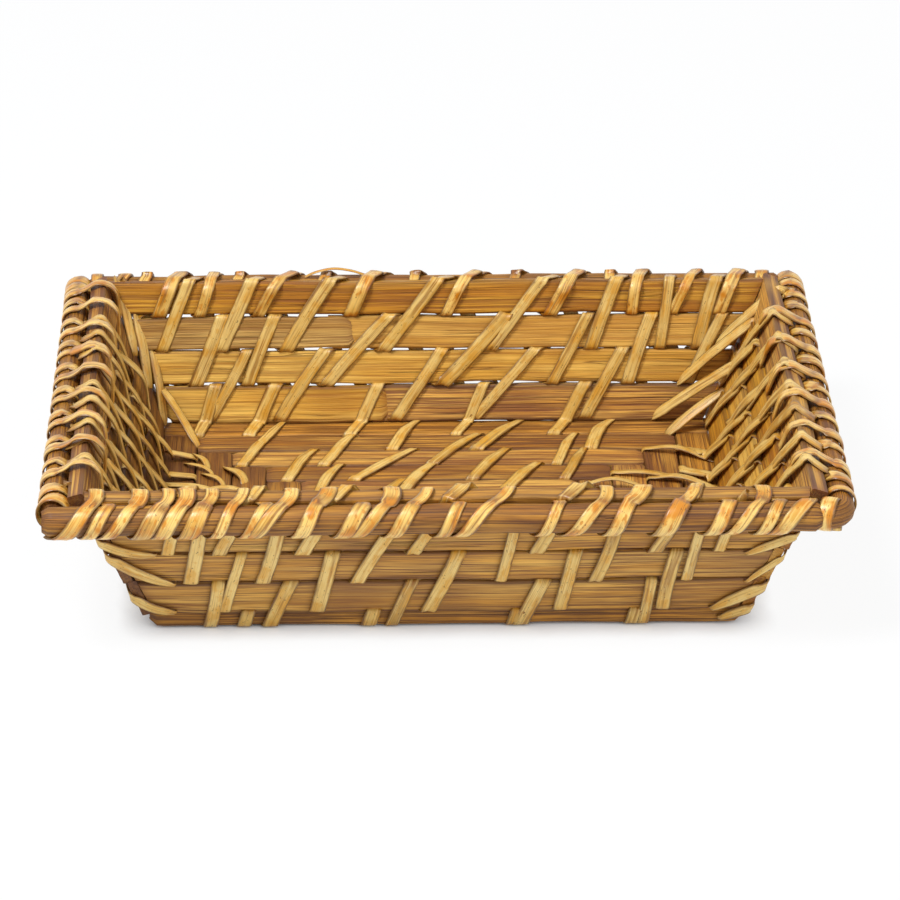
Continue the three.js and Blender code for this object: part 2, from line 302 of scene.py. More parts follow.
@dataclass(frozen=True)
class Side:
    """One of the four sides, in the way that the strips travel."""

    name: str
    along: Pair
    out: Pair
    foot: float
    flare: float
    end_foot: float
    end_flare: float

    @property
    def is_long(self) -> bool:
        """Whether it is the front or the back."""
        return self.name in ("front", "back")

    def outer(self, z: float) -> float:
        """Distance of the wall's outer face at a height."""
        return self.foot + z * math.tan(self.flare)

    def inner(self, z: float) -> float:
        """Distance of the wall's inner face at a height."""
        return self.outer(z) - SIZES.slat / math.cos(self.flare)

    def end_outer(self, z: float) -> float:
        """Travel at which the neighbouring wall's outer face crosses a height."""
        return self.end_foot + z * math.tan(self.end_flare)

    def end_inner(self, z: float) -> float:
        """Travel at which the neighbouring wall's inner face crosses a height."""
        return self.end_outer(z) - SIZES.slat / math.cos(self.end_flare)

    def on_wall(self, depth: float, rise: float) -> Pair:
        """Distance and height of a point, given by depth out through the wall and rise up it."""
        sine, cosine = math.sin(self.flare), math.cos(self.flare)
        return self.foot + rise * sine + depth * cosine, rise * cosine - depth * sine

    def slit_rise(self, row: int) -> float:
        """Rise up the wall of the middle of the slit above a row."""
        return SIZES.slit_height(row) / math.cos(self.flare) + SIZES.slit / 2

    def world(self, travel: float, distance: float, z: float) -> Vector:
        """The point in metres.

        Args:
            travel: how far along the side, from its middle.
            distance: how far out from the basket's middle.
            z: the height.

        Returns:
            The point.
        """
        x = self.along[0] * travel + self.out[0] * distance
        y = self.along[1] * travel + self.out[1] * distance
        return Vector((x, y, z)) * MM

    def heading(self, outward: float, upward: float) -> Vector:
        """A direction given in the side's section."""
        return Vector((self.out[0] * outward, self.out[1] * outward, upward))

    @property
    def rim_bulge(self) -> float:
        """How much thicker the top slat is than the others."""
        return 2.0 if self.is_long else 2.2

    @property
    def rod_radius(self) -> float:
        """Radius of the bare rod, which the wraps make up to the rim's full thickness."""
        return 5.5 if self.is_long else 4.8

    @property
    def rod_distance(self) -> float:
        """Distance of the bare rod's middle line.

        Returns:
            The distance, which leaves the rim's outside where the solid has it.
        """
        full = SIZES.rod / 2
        play = 0.3
        middle = self.outer(SIZES.rod_height) + (full + SIZES.rod_slit) / math.cos(self.flare)
        return middle + full - self.rod_radius - play

    def hoop_outer(self, hoop: int) -> float:
        """Distance of a floor hoop's outer edge."""
        return self.foot - SIZES.foot_width - SIZES.slit - (hoop - 1) * SIZES.floor_pitch

    def hoop_inner(self, hoop: int) -> float:
        """Distance of a floor hoop's inner edge."""
        return self.hoop_outer(hoop) - SIZES.floor_pitch + SIZES.slit

    def end_hoop_outer(self, hoop: int) -> float:
        """Travel at which the neighbouring side's floor hoop has its outer edge."""
        return self.end_foot - SIZES.foot_width - SIZES.slit - (hoop - 1) * SIZES.floor_pitch

    def end_hoop_inner(self, hoop: int) -> float:
        """Travel at which the neighbouring side's floor hoop has its inner edge."""
        return self.end_hoop_outer(hoop) - SIZES.floor_pitch + SIZES.slit


def four_sides() -> list[Side]:
    """Makes the sides in the order that the strips travel, anticlockwise seen from above.

    Returns:
        The front, the right, the back and the left.
    """
    long_side = (SIZES.foot_depth / 2, SIZES.front_flare, SIZES.foot_length / 2, SIZES.side_flare)
    end_side = (SIZES.foot_length / 2, SIZES.side_flare, SIZES.foot_depth / 2, SIZES.front_flare)
    return [
        Side("front", (1, 0), (0, -1), *long_side),
        Side("right", (0, 1), (1, 0), *end_side),
        Side("back", (-1, 0), (0, 1), *long_side),
        Side("left", (0, -1), (-1, 0), *end_side),
    ]


SIDES = four_sides()


class Ripple:
    """A smooth seeded curve between about -1 and 1."""

    first_size: float = 0.6
    quickening: float = 1.3

    def __init__(self, seed: int, wavelength: float) -> None:
        """Draws three waves.

        Args:
            seed: the draw's seed.
            wavelength: the longest wave, in the unit that the curve is read in.
        """
        draw = random.Random(seed)
        self.waves = [
            (
                self.first_size / (1 + order),
                2 * math.pi * (1 + order * self.quickening) / wavelength,
                draw.uniform(0, 2 * math.pi),
            )
            for order in range(3)
        ]

    def at(self, place: float) -> float:
        """The curve's value at a place."""
        return sum(size * math.sin(rate * place + phase) for size, rate, phase in self.waves)


# ---------------------------------------------------------------- finishes


class Surface:
    """What every cane finish reads from its piece: where a point lies in the grain, and the tone."""

    def __init__(self, name: str) -> None:
        """Starts a material and its node maker.

        Args:
            name: the material's name.
        """
        self.material = bpy.data.materials.new(name)
        self.material.use_nodes = True
        self.material.node_tree.nodes.clear()
        self.maker = NodeMaker(self.material.node_tree)
        grain = self.maker.make("ShaderNodeAttribute", {"attribute_name": "grain"})["Vector"]
        parts = self.maker.split(grain)
        self.along, self.across, self.through = parts["X"], parts["Y"], parts["Z"]
        self.tone = self.maker.make("ShaderNodeAttribute", {"attribute_name": "tone"})["Fac"]

    def fibres(self, length: float, width: float, detail: float = 2.0, shift: float = 0.0) -> Wire:
        """Noise drawn out along the grain.

        Args:
            length: how long its marks are, in millimetres.
            width: how wide they are, in millimetres.
            detail: the noise's detail.
            shift: keeps one noise apart from another.

        Returns:
            The noise's wire, from 0 to 1.
        """
        narrow = 1 / (width * MM)
        vector = self.maker.vector(
            self.along * (1 / (length * MM)) + shift, self.across * narrow, self.through * narrow + shift,
        )
        return self.maker.noise(vector, detail)

    def finish(
        self, colour: Wire, roughness: Wire, height: Wire, relief: float, coat: float,
    ) -> bpy.types.Material:
        """Joins the results to a shader.

        Args:
            colour: the base colour.
            roughness: the roughness.
            height: the relief from 0 to 1.
            relief: how high the relief is, in millimetres.
            coat: the weight of a clear varnish.

        Returns:
            The material.
        """
        raised = {"Strength": 1.0, "Distance": relief * MM, "Height": height}
        bump = self.maker.make("ShaderNodeBump", {}, raised)
        shader = self.maker.make("ShaderNodeBsdfPrincipled", {}, {
            "Base Color": colour,
            "Roughness": roughness,
            "Normal": bump["Normal"],
            "Coat Weight": coat,
            "Coat Roughness": 0.28,
            "IOR": 1.45,
        })
        self.maker.make("ShaderNodeOutputMaterial", {}, {"Surface": shader["BSDF"]})
        return self.material


@dataclass(frozen=True)
class CaneFinish:
    """Split or whole cane: lengthwise fibres, stained bands, dark checks, and edges darkened partly as real
    stain and partly as painted shade of the slits.
    """

    name: str
    base: Display
    light: Display
    dark: Display
    band: float = 0.5
    striation: float = 0.5
    checks: float = 0.5
    half_width: float = 6.5
    coat: float = 0.04

    def material(self) -> bpy.types.Material:
        """Builds the material.

        Returns:
            The material.
        """
        surface = Surface(self.name)
        maker = surface.maker
        base, light, dark = (linear(shade) for shade in (self.base, self.light, self.dark))
        fine = surface.fibres(length=26.0, width=0.32, detail=3.0)
        coarse = surface.fibres(length=60.0, width=1.15, detail=3.0, shift=3.0)
        bands = surface.fibres(length=90.0, width=5.0, detail=2.0, shift=9.0)
        patches = surface.fibres(length=22.0, width=9.0, detail=2.0, shift=17.0)
        # broad bands, then dark and light fibres over them
        colour = maker.mix(bands.ramp(0.36, 0.66), base, light)
        colour = maker.mix(coarse.ramp(0.56, 0.36) * self.band, colour, dark)
        colour = maker.mix(fine.ramp(0.52, 0.34) * self.striation, colour, dark)
        colour = maker.mix(fine.ramp(0.58, 0.74) * (0.55 * self.striation), colour, light)
        stained = patches.ramp(0.60, 0.40) * (0.35 * self.band)
        colour = maker.mix(stained, colour, dark)
        # cracks and dark lines along the fibres
        line = abs(surface.fibres(length=160.0, width=2.6, detail=1.5, shift=31.0) - 0.5)
        parts = surface.fibres(length=40.0, width=12.0, detail=1.0, shift=41.0)
        check = line.ramp(0.011, 0.003) * parts.ramp(0.45, 0.6)
        colour = maker.mix(check * self.checks, colour, tuple(channel * 0.35 for channel in dark))
        lines = surface.fibres(length=150.0, width=0.6, detail=1.0, shift=61.0).ramp(0.37, 0.29)
        colour = maker.mix(lines * self.striation, colour, tuple(channel * 0.55 for channel in dark))
        # edges darkened partly as real stain and partly as painted shade from the slits beside them
        rim = abs(surface.across) * (1 / (self.half_width * MM))
        uneven = surface.fibres(length=30.0, width=2.2, detail=2.0, shift=53.0) * 0.34
        broad = abs(surface.through).ramp(1.1 * MM, 1.6 * MM) * 0.6 + 0.25
        edge = (rim + uneven).ramp(1.0, 1.26) * broad
        colour = maker.mix(edge, colour, tuple(channel * 0.5 for channel in dark))
        # the tone that the course gives, which on the left end's shaded canes is painted shade
        colour = maker.mix(surface.tone.ramp(0.5, 0.0) * 0.8, colour, dark)
        colour = maker.mix(surface.tone.ramp(0.5, 1.0) * 0.5, colour, light)
        height = fine * 0.6 + coarse * 0.4 - check * 0.8
        return surface.finish(colour, fine * 0.25 + 0.44, height, 0.36, self.coat)


@dataclass(frozen=True)
class PeelFinish:
    """Rattan peel: pale and smooth, with fine fibres, brown specks, and edges darkened partly as real stain
    and partly as painted contact shadow.
    """

    name: str
    base: Display
    light: Display
    gold: Display
    dark: Display
    mottle: float = 0.6
    coat: float = 0.16

    def material(self) -> bpy.types.Material:
        """Builds the material.

        Returns:
            The material.
        """
        surface = Surface(self.name)
        maker = surface.maker
        base, light, gold, dark = (linear(shade) for shade in (self.base, self.light, self.gold, self.dark))
        fine = surface.fibres(length=16.0, width=0.28, detail=3.0)
        coarse = surface.fibres(length=30.0, width=1.3, detail=2.0, shift=5.0)
        patches = surface.fibres(length=9.0, width=5.0, detail=2.0, shift=13.0)
        # the tone that the course gives, darkened partly as painted shade and partly as stain where a strip
        # dives into a slit, then patches and fibres
        colour = maker.mix(surface.tone.ramp(0.05, 0.55), dark, base)
        colour = maker.mix(surface.tone.ramp(0.45, 1.0) * 0.7, colour, light)
        colour = maker.mix(patches.ramp(0.50, 0.66) * 0.55, colour, light)
        colour = maker.mix(patches.ramp(0.49, 0.36) * self.mottle, colour, gold)
        spots = surface.fibres(length=3.2, width=1.5, detail=2.0, shift=71.0)
        colour = maker.mix(spots.ramp(0.56, 0.66) * (0.8 * self.mottle), colour, gold)
        colour = maker.mix(coarse.ramp(0.46, 0.30) * 0.65, colour, dark)
        colour = maker.mix(fine.ramp(0.50, 0.32) * 0.5, colour, dark)
        specks = surface.fibres(length=1.3, width=0.6, detail=1.0, shift=23.0).ramp(0.67, 0.76)
        brown = tuple(channel * 0.28 for channel in dark)
        streaks = surface.fibres(length=24.0, width=0.75, detail=2.0, shift=83.0)
        colour = maker.mix(streaks.ramp(0.54, 0.68) * 0.6, colour, light)
        colour = maker.mix(streaks.ramp(0.46, 0.30) * 0.5, colour, gold)
        colour = maker.mix(specks * 0.6, colour, brown)
        # edges darkened partly as real stain and partly as painted contact shadow beside the strip
        ragged = surface.fibres(length=7.0, width=1.4, detail=2.0, shift=37.0) * (1.1 * MM)
        edge = (abs(surface.across) + ragged).ramp(1.9 * MM, 2.6 * MM) * 0.75
        colour = maker.mix(edge, colour, tuple(channel * 0.55 for channel in dark))
        height = fine * 0.5 + coarse * 0.5
        return surface.finish(colour, coarse * 0.22 + 0.26, height, 0.16, self.coat)


class Cane(Enum):
    """The canes that the slats and rods are made of."""

    GOLDEN = CaneFinish("golden_cane", (196, 130, 24), (224, 167, 52), (124, 68, 12), 0.7, 0.6)
    TAN = CaneFinish("tan_cane", (222, 166, 69), (237, 190, 94), (154, 97, 29), 0.5, 0.5)
    SPLICE = CaneFinish("greyed_cane", (196, 149, 72), (227, 186, 106), (134, 89, 35), 0.7, 0.7)
    HONEY = CaneFinish("honey_cane", (225, 170, 64), (247, 202, 99), (154, 95, 20), 0.55, 0.55)
    PALE = CaneFinish("pale_cane", (227, 172, 66), (249, 206, 102), (146, 87, 15), 0.6, 0.6)
    RUSSET = CaneFinish("russet_cane", (212, 150, 62), (240, 188, 92), (122, 72, 42), 0.8, 0.9)
    FLOOR = CaneFinish("floor_cane", (191, 129, 42), (225, 170, 74), (102, 58, 32), 0.9, 0.9)
    OUTSIDE = CaneFinish("outside_cane", (214, 154, 58), (233, 183, 90), (126, 78, 38), 0.5, 1.0)
    FOOT = CaneFinish("foot_cane", (196, 134, 42), (216, 156, 66), (108, 64, 24), 0.9, 1.0, 0.6, 50.0)
    # painted shade: a darker copy of a cane for the left end, whose inside lies in the key lamp's shade
    SHADED = CaneFinish("shaded_cane", (178, 119, 38), (212, 154, 62), (92, 51, 26), 0.8, 0.8)
    ROD = CaneFinish("rim_cane", (159, 102, 26), (194, 137, 48), (94, 52, 12), 0.9, 1.0, 0.8, 50.0)
    PEEL = PeelFinish(
        "binding_peel", (217, 177, 91), (235, 204, 127), (213, 152, 37), (139, 86, 22),
    )
    GLOSSY_PEEL = PeelFinish(
        "rim_peel", (217, 167, 72), (247, 211, 124), (205, 131, 20), (122, 69, 15), 1.0, 0.36,
    )


_dressed: dict[Cane, bpy.types.Material] = {}


def dressed(cane: Cane) -> bpy.types.Material:
    """Gives a cane's material, built once.

    Args:
        cane: the cane.

    Returns:
        Its material.
    """
    if cane not in _dressed:
        _dressed[cane] = cane.value.material()
    return _dressed[cane]


# ---------------------------------------------------------------- sweeps


@dataclass
class Course:
    """The line that a slat, rod or strip follows, with what changes on the way."""

    places: list[Vector] = field(default_factory=list)
    facings: list[Vector] = field(default_factory=list)
    widths: list[float] = field(default_factory=list)
    tones: list[float] = field(default_factory=list)

    def add(self, place: Vector, facing: Vector, width: float = 1.0, tone: float = 0.5) -> None:
        """Adds one point.

        Args:
            place: in metres.
            facing: where the flat face looks.
            width: share of the full width.
            tone: 0 for the darkest cane, 1 for the palest.
        """
        self.places.append(place)
        self.facings.append(facing)
        self.widths.append(width)
        self.tones.append(tone)

    def squared_facings(self) -> list[Vector]:
        """Turns each facing square to the line.

        Returns:
            The facings, one for each point.
        """
        squared = []
        last = len(self.places) - 1
        for index, facing in enumerate(self.facings):
            ahead = self.places[min(index + 1, last)] - self.places[max(index - 1, 0)]
            tangent = ahead.normalized()
            square = facing - tangent * facing.dot(tangent)
            squared.append(square.normalized() if square.length > 1e-6 else tangent.orthogonal().normalized())
        return squared


def course_mesh(name: str, courses: list[Course]) -> bpy.types.Mesh:
    """Puts courses in a mesh of loose edges that carries their values.

    Args:
        name: the mesh's name.
        courses: the lines to follow.

    Returns:
        The mesh, with each point's facing, width and tone.
    """
    mesh = bpy.data.meshes.new(name)
    places = [place for course in courses for place in course.places]
    edges = []
    start = 0
    for course in courses:
        count = len(course.places)
        edges += [(start + step, start + step + 1) for step in range(count - 1)]
        start += count
    mesh.from_pydata(places, edges, [])
    facing = mesh.attributes.new("facing", "FLOAT_VECTOR", "POINT")
    flat = [value for course in courses for one in course.squared_facings() for value in one]
    facing.data.foreach_set("vector", flat)
    for label, values in (
        ("width", [value for course in courses for value in course.widths]),
        ("tone", [value for course in courses for value in course.tones]),
    ):
        mesh.attributes.new(label, "FLOAT", "POINT").data.foreach_set("value", values)
    return mesh


class Sweep:
    """A Geometry Nodes tree that sweeps a cane section along courses."""

    edge_round: float = 0.1
    fillet_points: int = 3
    ridge_spread: float = 10.0
    tear_spread: float = 3.0
    tear_fineness: float = 900.0
    tear_reach: float = 12.0

    def __init__(self, name: str, is_flat: bool) -> None:
        """Builds the tree.

        Args:
            name: the tree's name.
            is_flat: a slat with square edges, else a round or lens-shaped section.
        """
        self.tree = bpy.data.node_groups.new(name, "GeometryNodeTree")
        self.ids: dict[str, str] = {}
        face = self.tree.interface
        for label, kind, value in (
            ("Courses", "NodeSocketGeometry", None),
            ("Width", "NodeSocketFloat", 0.0042),
            ("Thickness", "NodeSocketFloat", 0.0008),
            ("Step", "NodeSocketFloat", 0.0012),
            ("Section Points", "NodeSocketInt", 10),
            ("Squareness", "NodeSocketFloat", 0.0),
            ("Ridges", "NodeSocketFloat", 0.0001),
            ("Ridge Width", "NodeSocketFloat", 0.0012),
            ("Ridge Length", "NodeSocketFloat", 0.04),
            ("Ragged Ends", "NodeSocketFloat", 0.0),
            ("Slant Direction", "NodeSocketVector", (0.0, 0.0, 0.0)),
            ("Slant Middle", "NodeSocketFloat", 0.0),
            ("Slant", "NodeSocketFloat", 0.0),
            ("Seed", "NodeSocketFloat", 0.0),
            ("Finish", "NodeSocketMaterial", None),
        ):
            socket = face.new_socket(label, in_out="INPUT", socket_type=kind)
            if value is not None:
                socket.default_value = value
            self.ids[label] = socket.identifier
        face.new_socket("Mesh", in_out="OUTPUT", socket_type="NodeSocketGeometry")
        self._build(is_flat)

    def _build(self, is_flat: bool) -> None:
        """Makes the tree's nodes.

        Args:
            is_flat: whether the section is a slat's.
        """
        maker = NodeMaker(self.tree)
        given = maker.make("NodeGroupInput")
        curve = maker.make("GeometryNodeMeshToCurve", {}, {"Mesh": given["Courses"]})["Curve"]
        smooth = {"spline_type": "CATMULL_ROM"}
        curve = maker.make("GeometryNodeCurveSplineType", smooth, {"Curve": curve})["Curve"]
        even = {"Curve": curve, "Length": given["Step"]}
        curve = maker.make("GeometryNodeResampleCurve", {"mode": "LENGTH"}, even)["Curve"]
        turned = {"Curve": curve, "Normal": self._named(maker, "facing", "FLOAT_VECTOR")}
        curve = maker.make("GeometryNodeSetCurveNormal", {"mode": "FREE"}, turned)["Curve"]
        length = maker.make("GeometryNodeSplineParameter")["Length"]
        curve = self._store(maker, curve, "along", "FLOAT", length)
        section = self._section(maker, given, is_flat)
        width = self._named(maker, "width", "FLOAT")
        mesh = maker.make("GeometryNodeCurveToMesh", {}, {
            "Curve": curve, "Profile Curve": section, "Scale": width, "Fill Caps": True,
        })["Mesh"]
        grain = self._grain(maker, given)
        mesh = self._store(maker, mesh, "grain", "FLOAT_VECTOR", grain)
        mesh = self._relief(maker, given, mesh)
        mesh = self._slanted(maker, given, mesh)
        shaded = {"Geometry": mesh, "Shade Smooth": True}
        mesh = maker.make("GeometryNodeSetShadeSmooth", {"domain": "FACE"}, shaded)["Geometry"]
        mesh = maker.make("GeometryNodeRealizeInstances", {}, {"Geometry": mesh})["Geometry"]
        mesh = maker.make("GeometryNodeSetMaterial", {}, {"Geometry": mesh, "Material": given["Finish"]})
        maker.make("NodeGroupOutput", {}, {"Mesh": mesh["Geometry"]})

    @staticmethod
    def _named(maker: NodeMaker, name: str, kind: str) -> Wire:
        """Reads an attribute."""
        made = maker.make("GeometryNodeInputNamedAttribute", {"data_type": kind}, {"Name": name})
        return made["Attribute"]

    @staticmethod
    def _store(maker: NodeMaker, geometry: Wire, name: str, kind: str, value: Wire) -> Wire:
        """Stores a value on the points under a name.

        Args:
            maker: the tree's node maker.
            geometry: the geometry.
            name: the attribute's name.
            kind: its data type.
            value: its value.

        Returns:
            The geometry that carries it.
        """
        settings = {"data_type": kind, "domain": "POINT"}
        inputs = {"Geometry": geometry, "Name": name, "Value": value}
        return maker.make("GeometryNodeStoreNamedAttribute", settings, inputs)["Geometry"]

    def _section(self, maker: NodeMaker, given: Made, is_flat: bool) -> Wire:
        """Makes the section, which keeps its own coordinates as attributes.

        Args:
            maker: the tree's node maker.
            given: the tree's inputs.
            is_flat: whether it is a slat's.

        Returns:
            The section's curve.
        """
        if is_flat:
            outline = maker.make("GeometryNodeCurvePrimitiveQuadrilateral", {"mode": "RECTANGLE"}, {
                "Width": given["Thickness"], "Height": given["Width"],
            })["Curve"]
            outline = maker.make("GeometryNodeFilletCurve", {"mode": "POLY"}, {
                "Curve": outline, "Count": self.fillet_points, "Radius": given["Thickness"] * self.edge_round,
                "Limit Radius": True,
            })["Curve"]
            outline = maker.make("GeometryNodeResampleCurve", {"mode": "COUNT"}, {
                "Curve": outline, "Count": given["Section Points"],
            })["Curve"]
        else:
            outline = maker.make("GeometryNodeCurvePrimitiveCircle", {"mode": "RADIUS"}, {
                "Resolution": given["Section Points"], "Radius": 1.0,
            })["Curve"]
            place = maker.split(maker.position())
            square = given["Squareness"]
            wide = place["Y"] * (square + 1.0 - place["Y"] * place["Y"] * square)
            shaped = maker.vector(place["X"] * given["Thickness"] * 0.5, wide * given["Width"] * 0.5, 0.0)
            outline = maker.moved(outline, "Position", shaped)
        place = maker.split(maker.position())
        outline = self._store(maker, outline, "across", "FLOAT", place["Y"])
        return self._store(maker, outline, "through", "FLOAT", place["X"])

    def _grain(self, maker: NodeMaker, given: Made) -> Wire:
        """Joins the three directions of the grain into one vector."""
        parts = [self._named(maker, name, "FLOAT") for name in ("along", "across", "through")]
        return maker.vector(parts[0] + given["Seed"], *parts[1:])

    def _relief(self, maker: NodeMaker, given: Made, mesh: Wire) -> Wire:
        """Raises lengthwise ridges on the surface.

        Args:
            maker: the tree's node maker.
            given: the tree's inputs.
            mesh: the mesh so far.

        Returns:
            The raised mesh.
        """
        place = maker.split(self._named(maker, "grain", "FLOAT_VECTOR"))
        wide = given["Ridge Width"]
        drawn = maker.vector(
            place["X"] / given["Ridge Length"],
            place["Y"] / wide + given["Seed"] * self.ridge_spread,
            place["Z"] / wide,
        )
        ridges = (maker.noise(drawn, detail=2.0, roughness=0.6) - 0.5) * 2.0
        normal = maker.make("GeometryNodeInputNormal")["Normal"]
        return maker.moved(mesh, "Offset", maker.scaled(normal, ridges * given["Ridges"]))

    def _slanted(self, maker: NodeMaker, given: Made, mesh: Wire) -> Wire:
        """Draws a piece out along its length, more at its upper edge, and roughens its cut ends.

        Args:
            maker: the tree's node maker.
            given: the tree's inputs.
            mesh: the mesh so far.

        Returns:
            The mesh with its ends shaped.
        """
        position, direction = maker.position(), given["Slant Direction"]
        height = maker.split(position)["Z"]
        settings = {"operation": "DOT_PRODUCT"}
        along = maker.make("ShaderNodeVectorMath", settings, {0: position, 1: direction})["Value"]
        stretch = along * (height - given["Slant Middle"]) * given["Slant"]
        place = maker.split(self._named(maker, "grain", "FLOAT_VECTOR"))
        fine = self.tear_fineness
        torn = maker.vector(given["Seed"] * self.tear_spread, place["Y"] * fine, place["Z"] * fine)
        ragged = (maker.noise(torn) - 0.5) * given["Ragged Ends"] * along * self.tear_reach
        return maker.moved(mesh, "Offset", maker.scaled(direction, stretch + ragged))

    def run(self, name: str, courses: list[Course], values: dict[str, Any]) -> bpy.types.Mesh:
        """Sweeps courses into a plain mesh.

        Args:
            name: the mesh's name.
            courses: the lines to follow.
            values: the tree's inputs by name.

        Returns:
            The mesh, in metres.
        """
        carrier = bpy.data.objects.new(name + "_course", course_mesh(name + "_course", courses))
        bpy.context.scene.collection.objects.link(carrier)
        modifier = carrier.modifiers.new("sweep", "NODES")
        modifier.node_group = self.tree
        for label, value in values.items():
            modifier[self.ids[label]] = value
        graph = bpy.context.evaluated_depsgraph_get()
        mesh = bpy.data.meshes.new_from_object(carrier.evaluated_get(graph))
        mesh.name = name
        bpy.data.objects.remove(carrier)
        return mesh


@dataclass(frozen=True)
class Cut:
    """How finely a cane is swept, and the lengthwise ridges on it, in millimetres."""

    step: float
    section_points: int
    ridges: float
    ridge_width: float
    ridge_length: float

    def inputs(self, width: float, thickness: float) -> dict[str, Any]:
        """The sweep's inputs for a cane of that width and thickness.

        Args:
            width: the cane's width.
            thickness: the cane's thickness.

        Returns:
            The inputs by name, in metres.
        """
        return {
            "Width": width * MM,
            "Thickness": thickness * MM,
            "Step": self.step * MM,
            "Section Points": self.section_points,
            "Ridges": self.ridges * MM,
            "Ridge Width": self.ridge_width * MM,
            "Ridge Length": self.ridge_length * MM,
        }


def joined(name: str, meshes: list[bpy.types.Mesh]) -> bpy.types.Object:
    """Joins meshes into one object at the origin, with each mesh's material kept.

    Args:
        name: the object's name.
        meshes: the meshes, in metres.

    Returns:
        The object.
    """
    parts = []
    for mesh in meshes:
        part = bpy.data.objects.new(name, mesh)
        bpy.context.scene.collection.objects.link(part)
        parts.append(part)
    if len(parts) > 1:
        with bpy.context.temp_override(active_object=parts[0], selected_editable_objects=parts):
            bpy.ops.object.join()
    parts[0].name = name
    return parts[0]


def placed(piece: bpy.types.Object, node: str) -> bpy.types.Object:
    """Ties a finished piece to the solid that it dresses.

    Args:
        piece: the piece, at the origin.
        node: the solid's name.

    Returns:
        The piece.
    """
    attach(piece, "root")
    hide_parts(node)
    log.info("%s: %d faces, stands for %s", piece.name, len(piece.data.polygons), node)
    return piece


# ---------------------------------------------------------------- slats and rods


@dataclass(frozen=True)
class Length:
    """One length of cane in a slat, from one travel to another, or to the end where None."""

    cane: Cane
    start: float | None = None
    stop: float | None = None
    lift: float = 0.0
    share: float = 1.0
    tone: float = 0.5
    tip: float = 1.0
    fade: float = 7.0


@dataclass(frozen=True)
class Seat:
    """Where a slat lies and how large it is.

    The middle line is given by distance and height, and the face by where it looks, outward
    and upward. The slope is how much longer half the slat gets for each millimetre of
    height, and the spread is how much wider than its solid it is on each side.
    """

    side: Side
    middle: Pair
    face: Pair
    width: float
    thickness: float
    half: float
    spread: float
    slope: float = 0.0


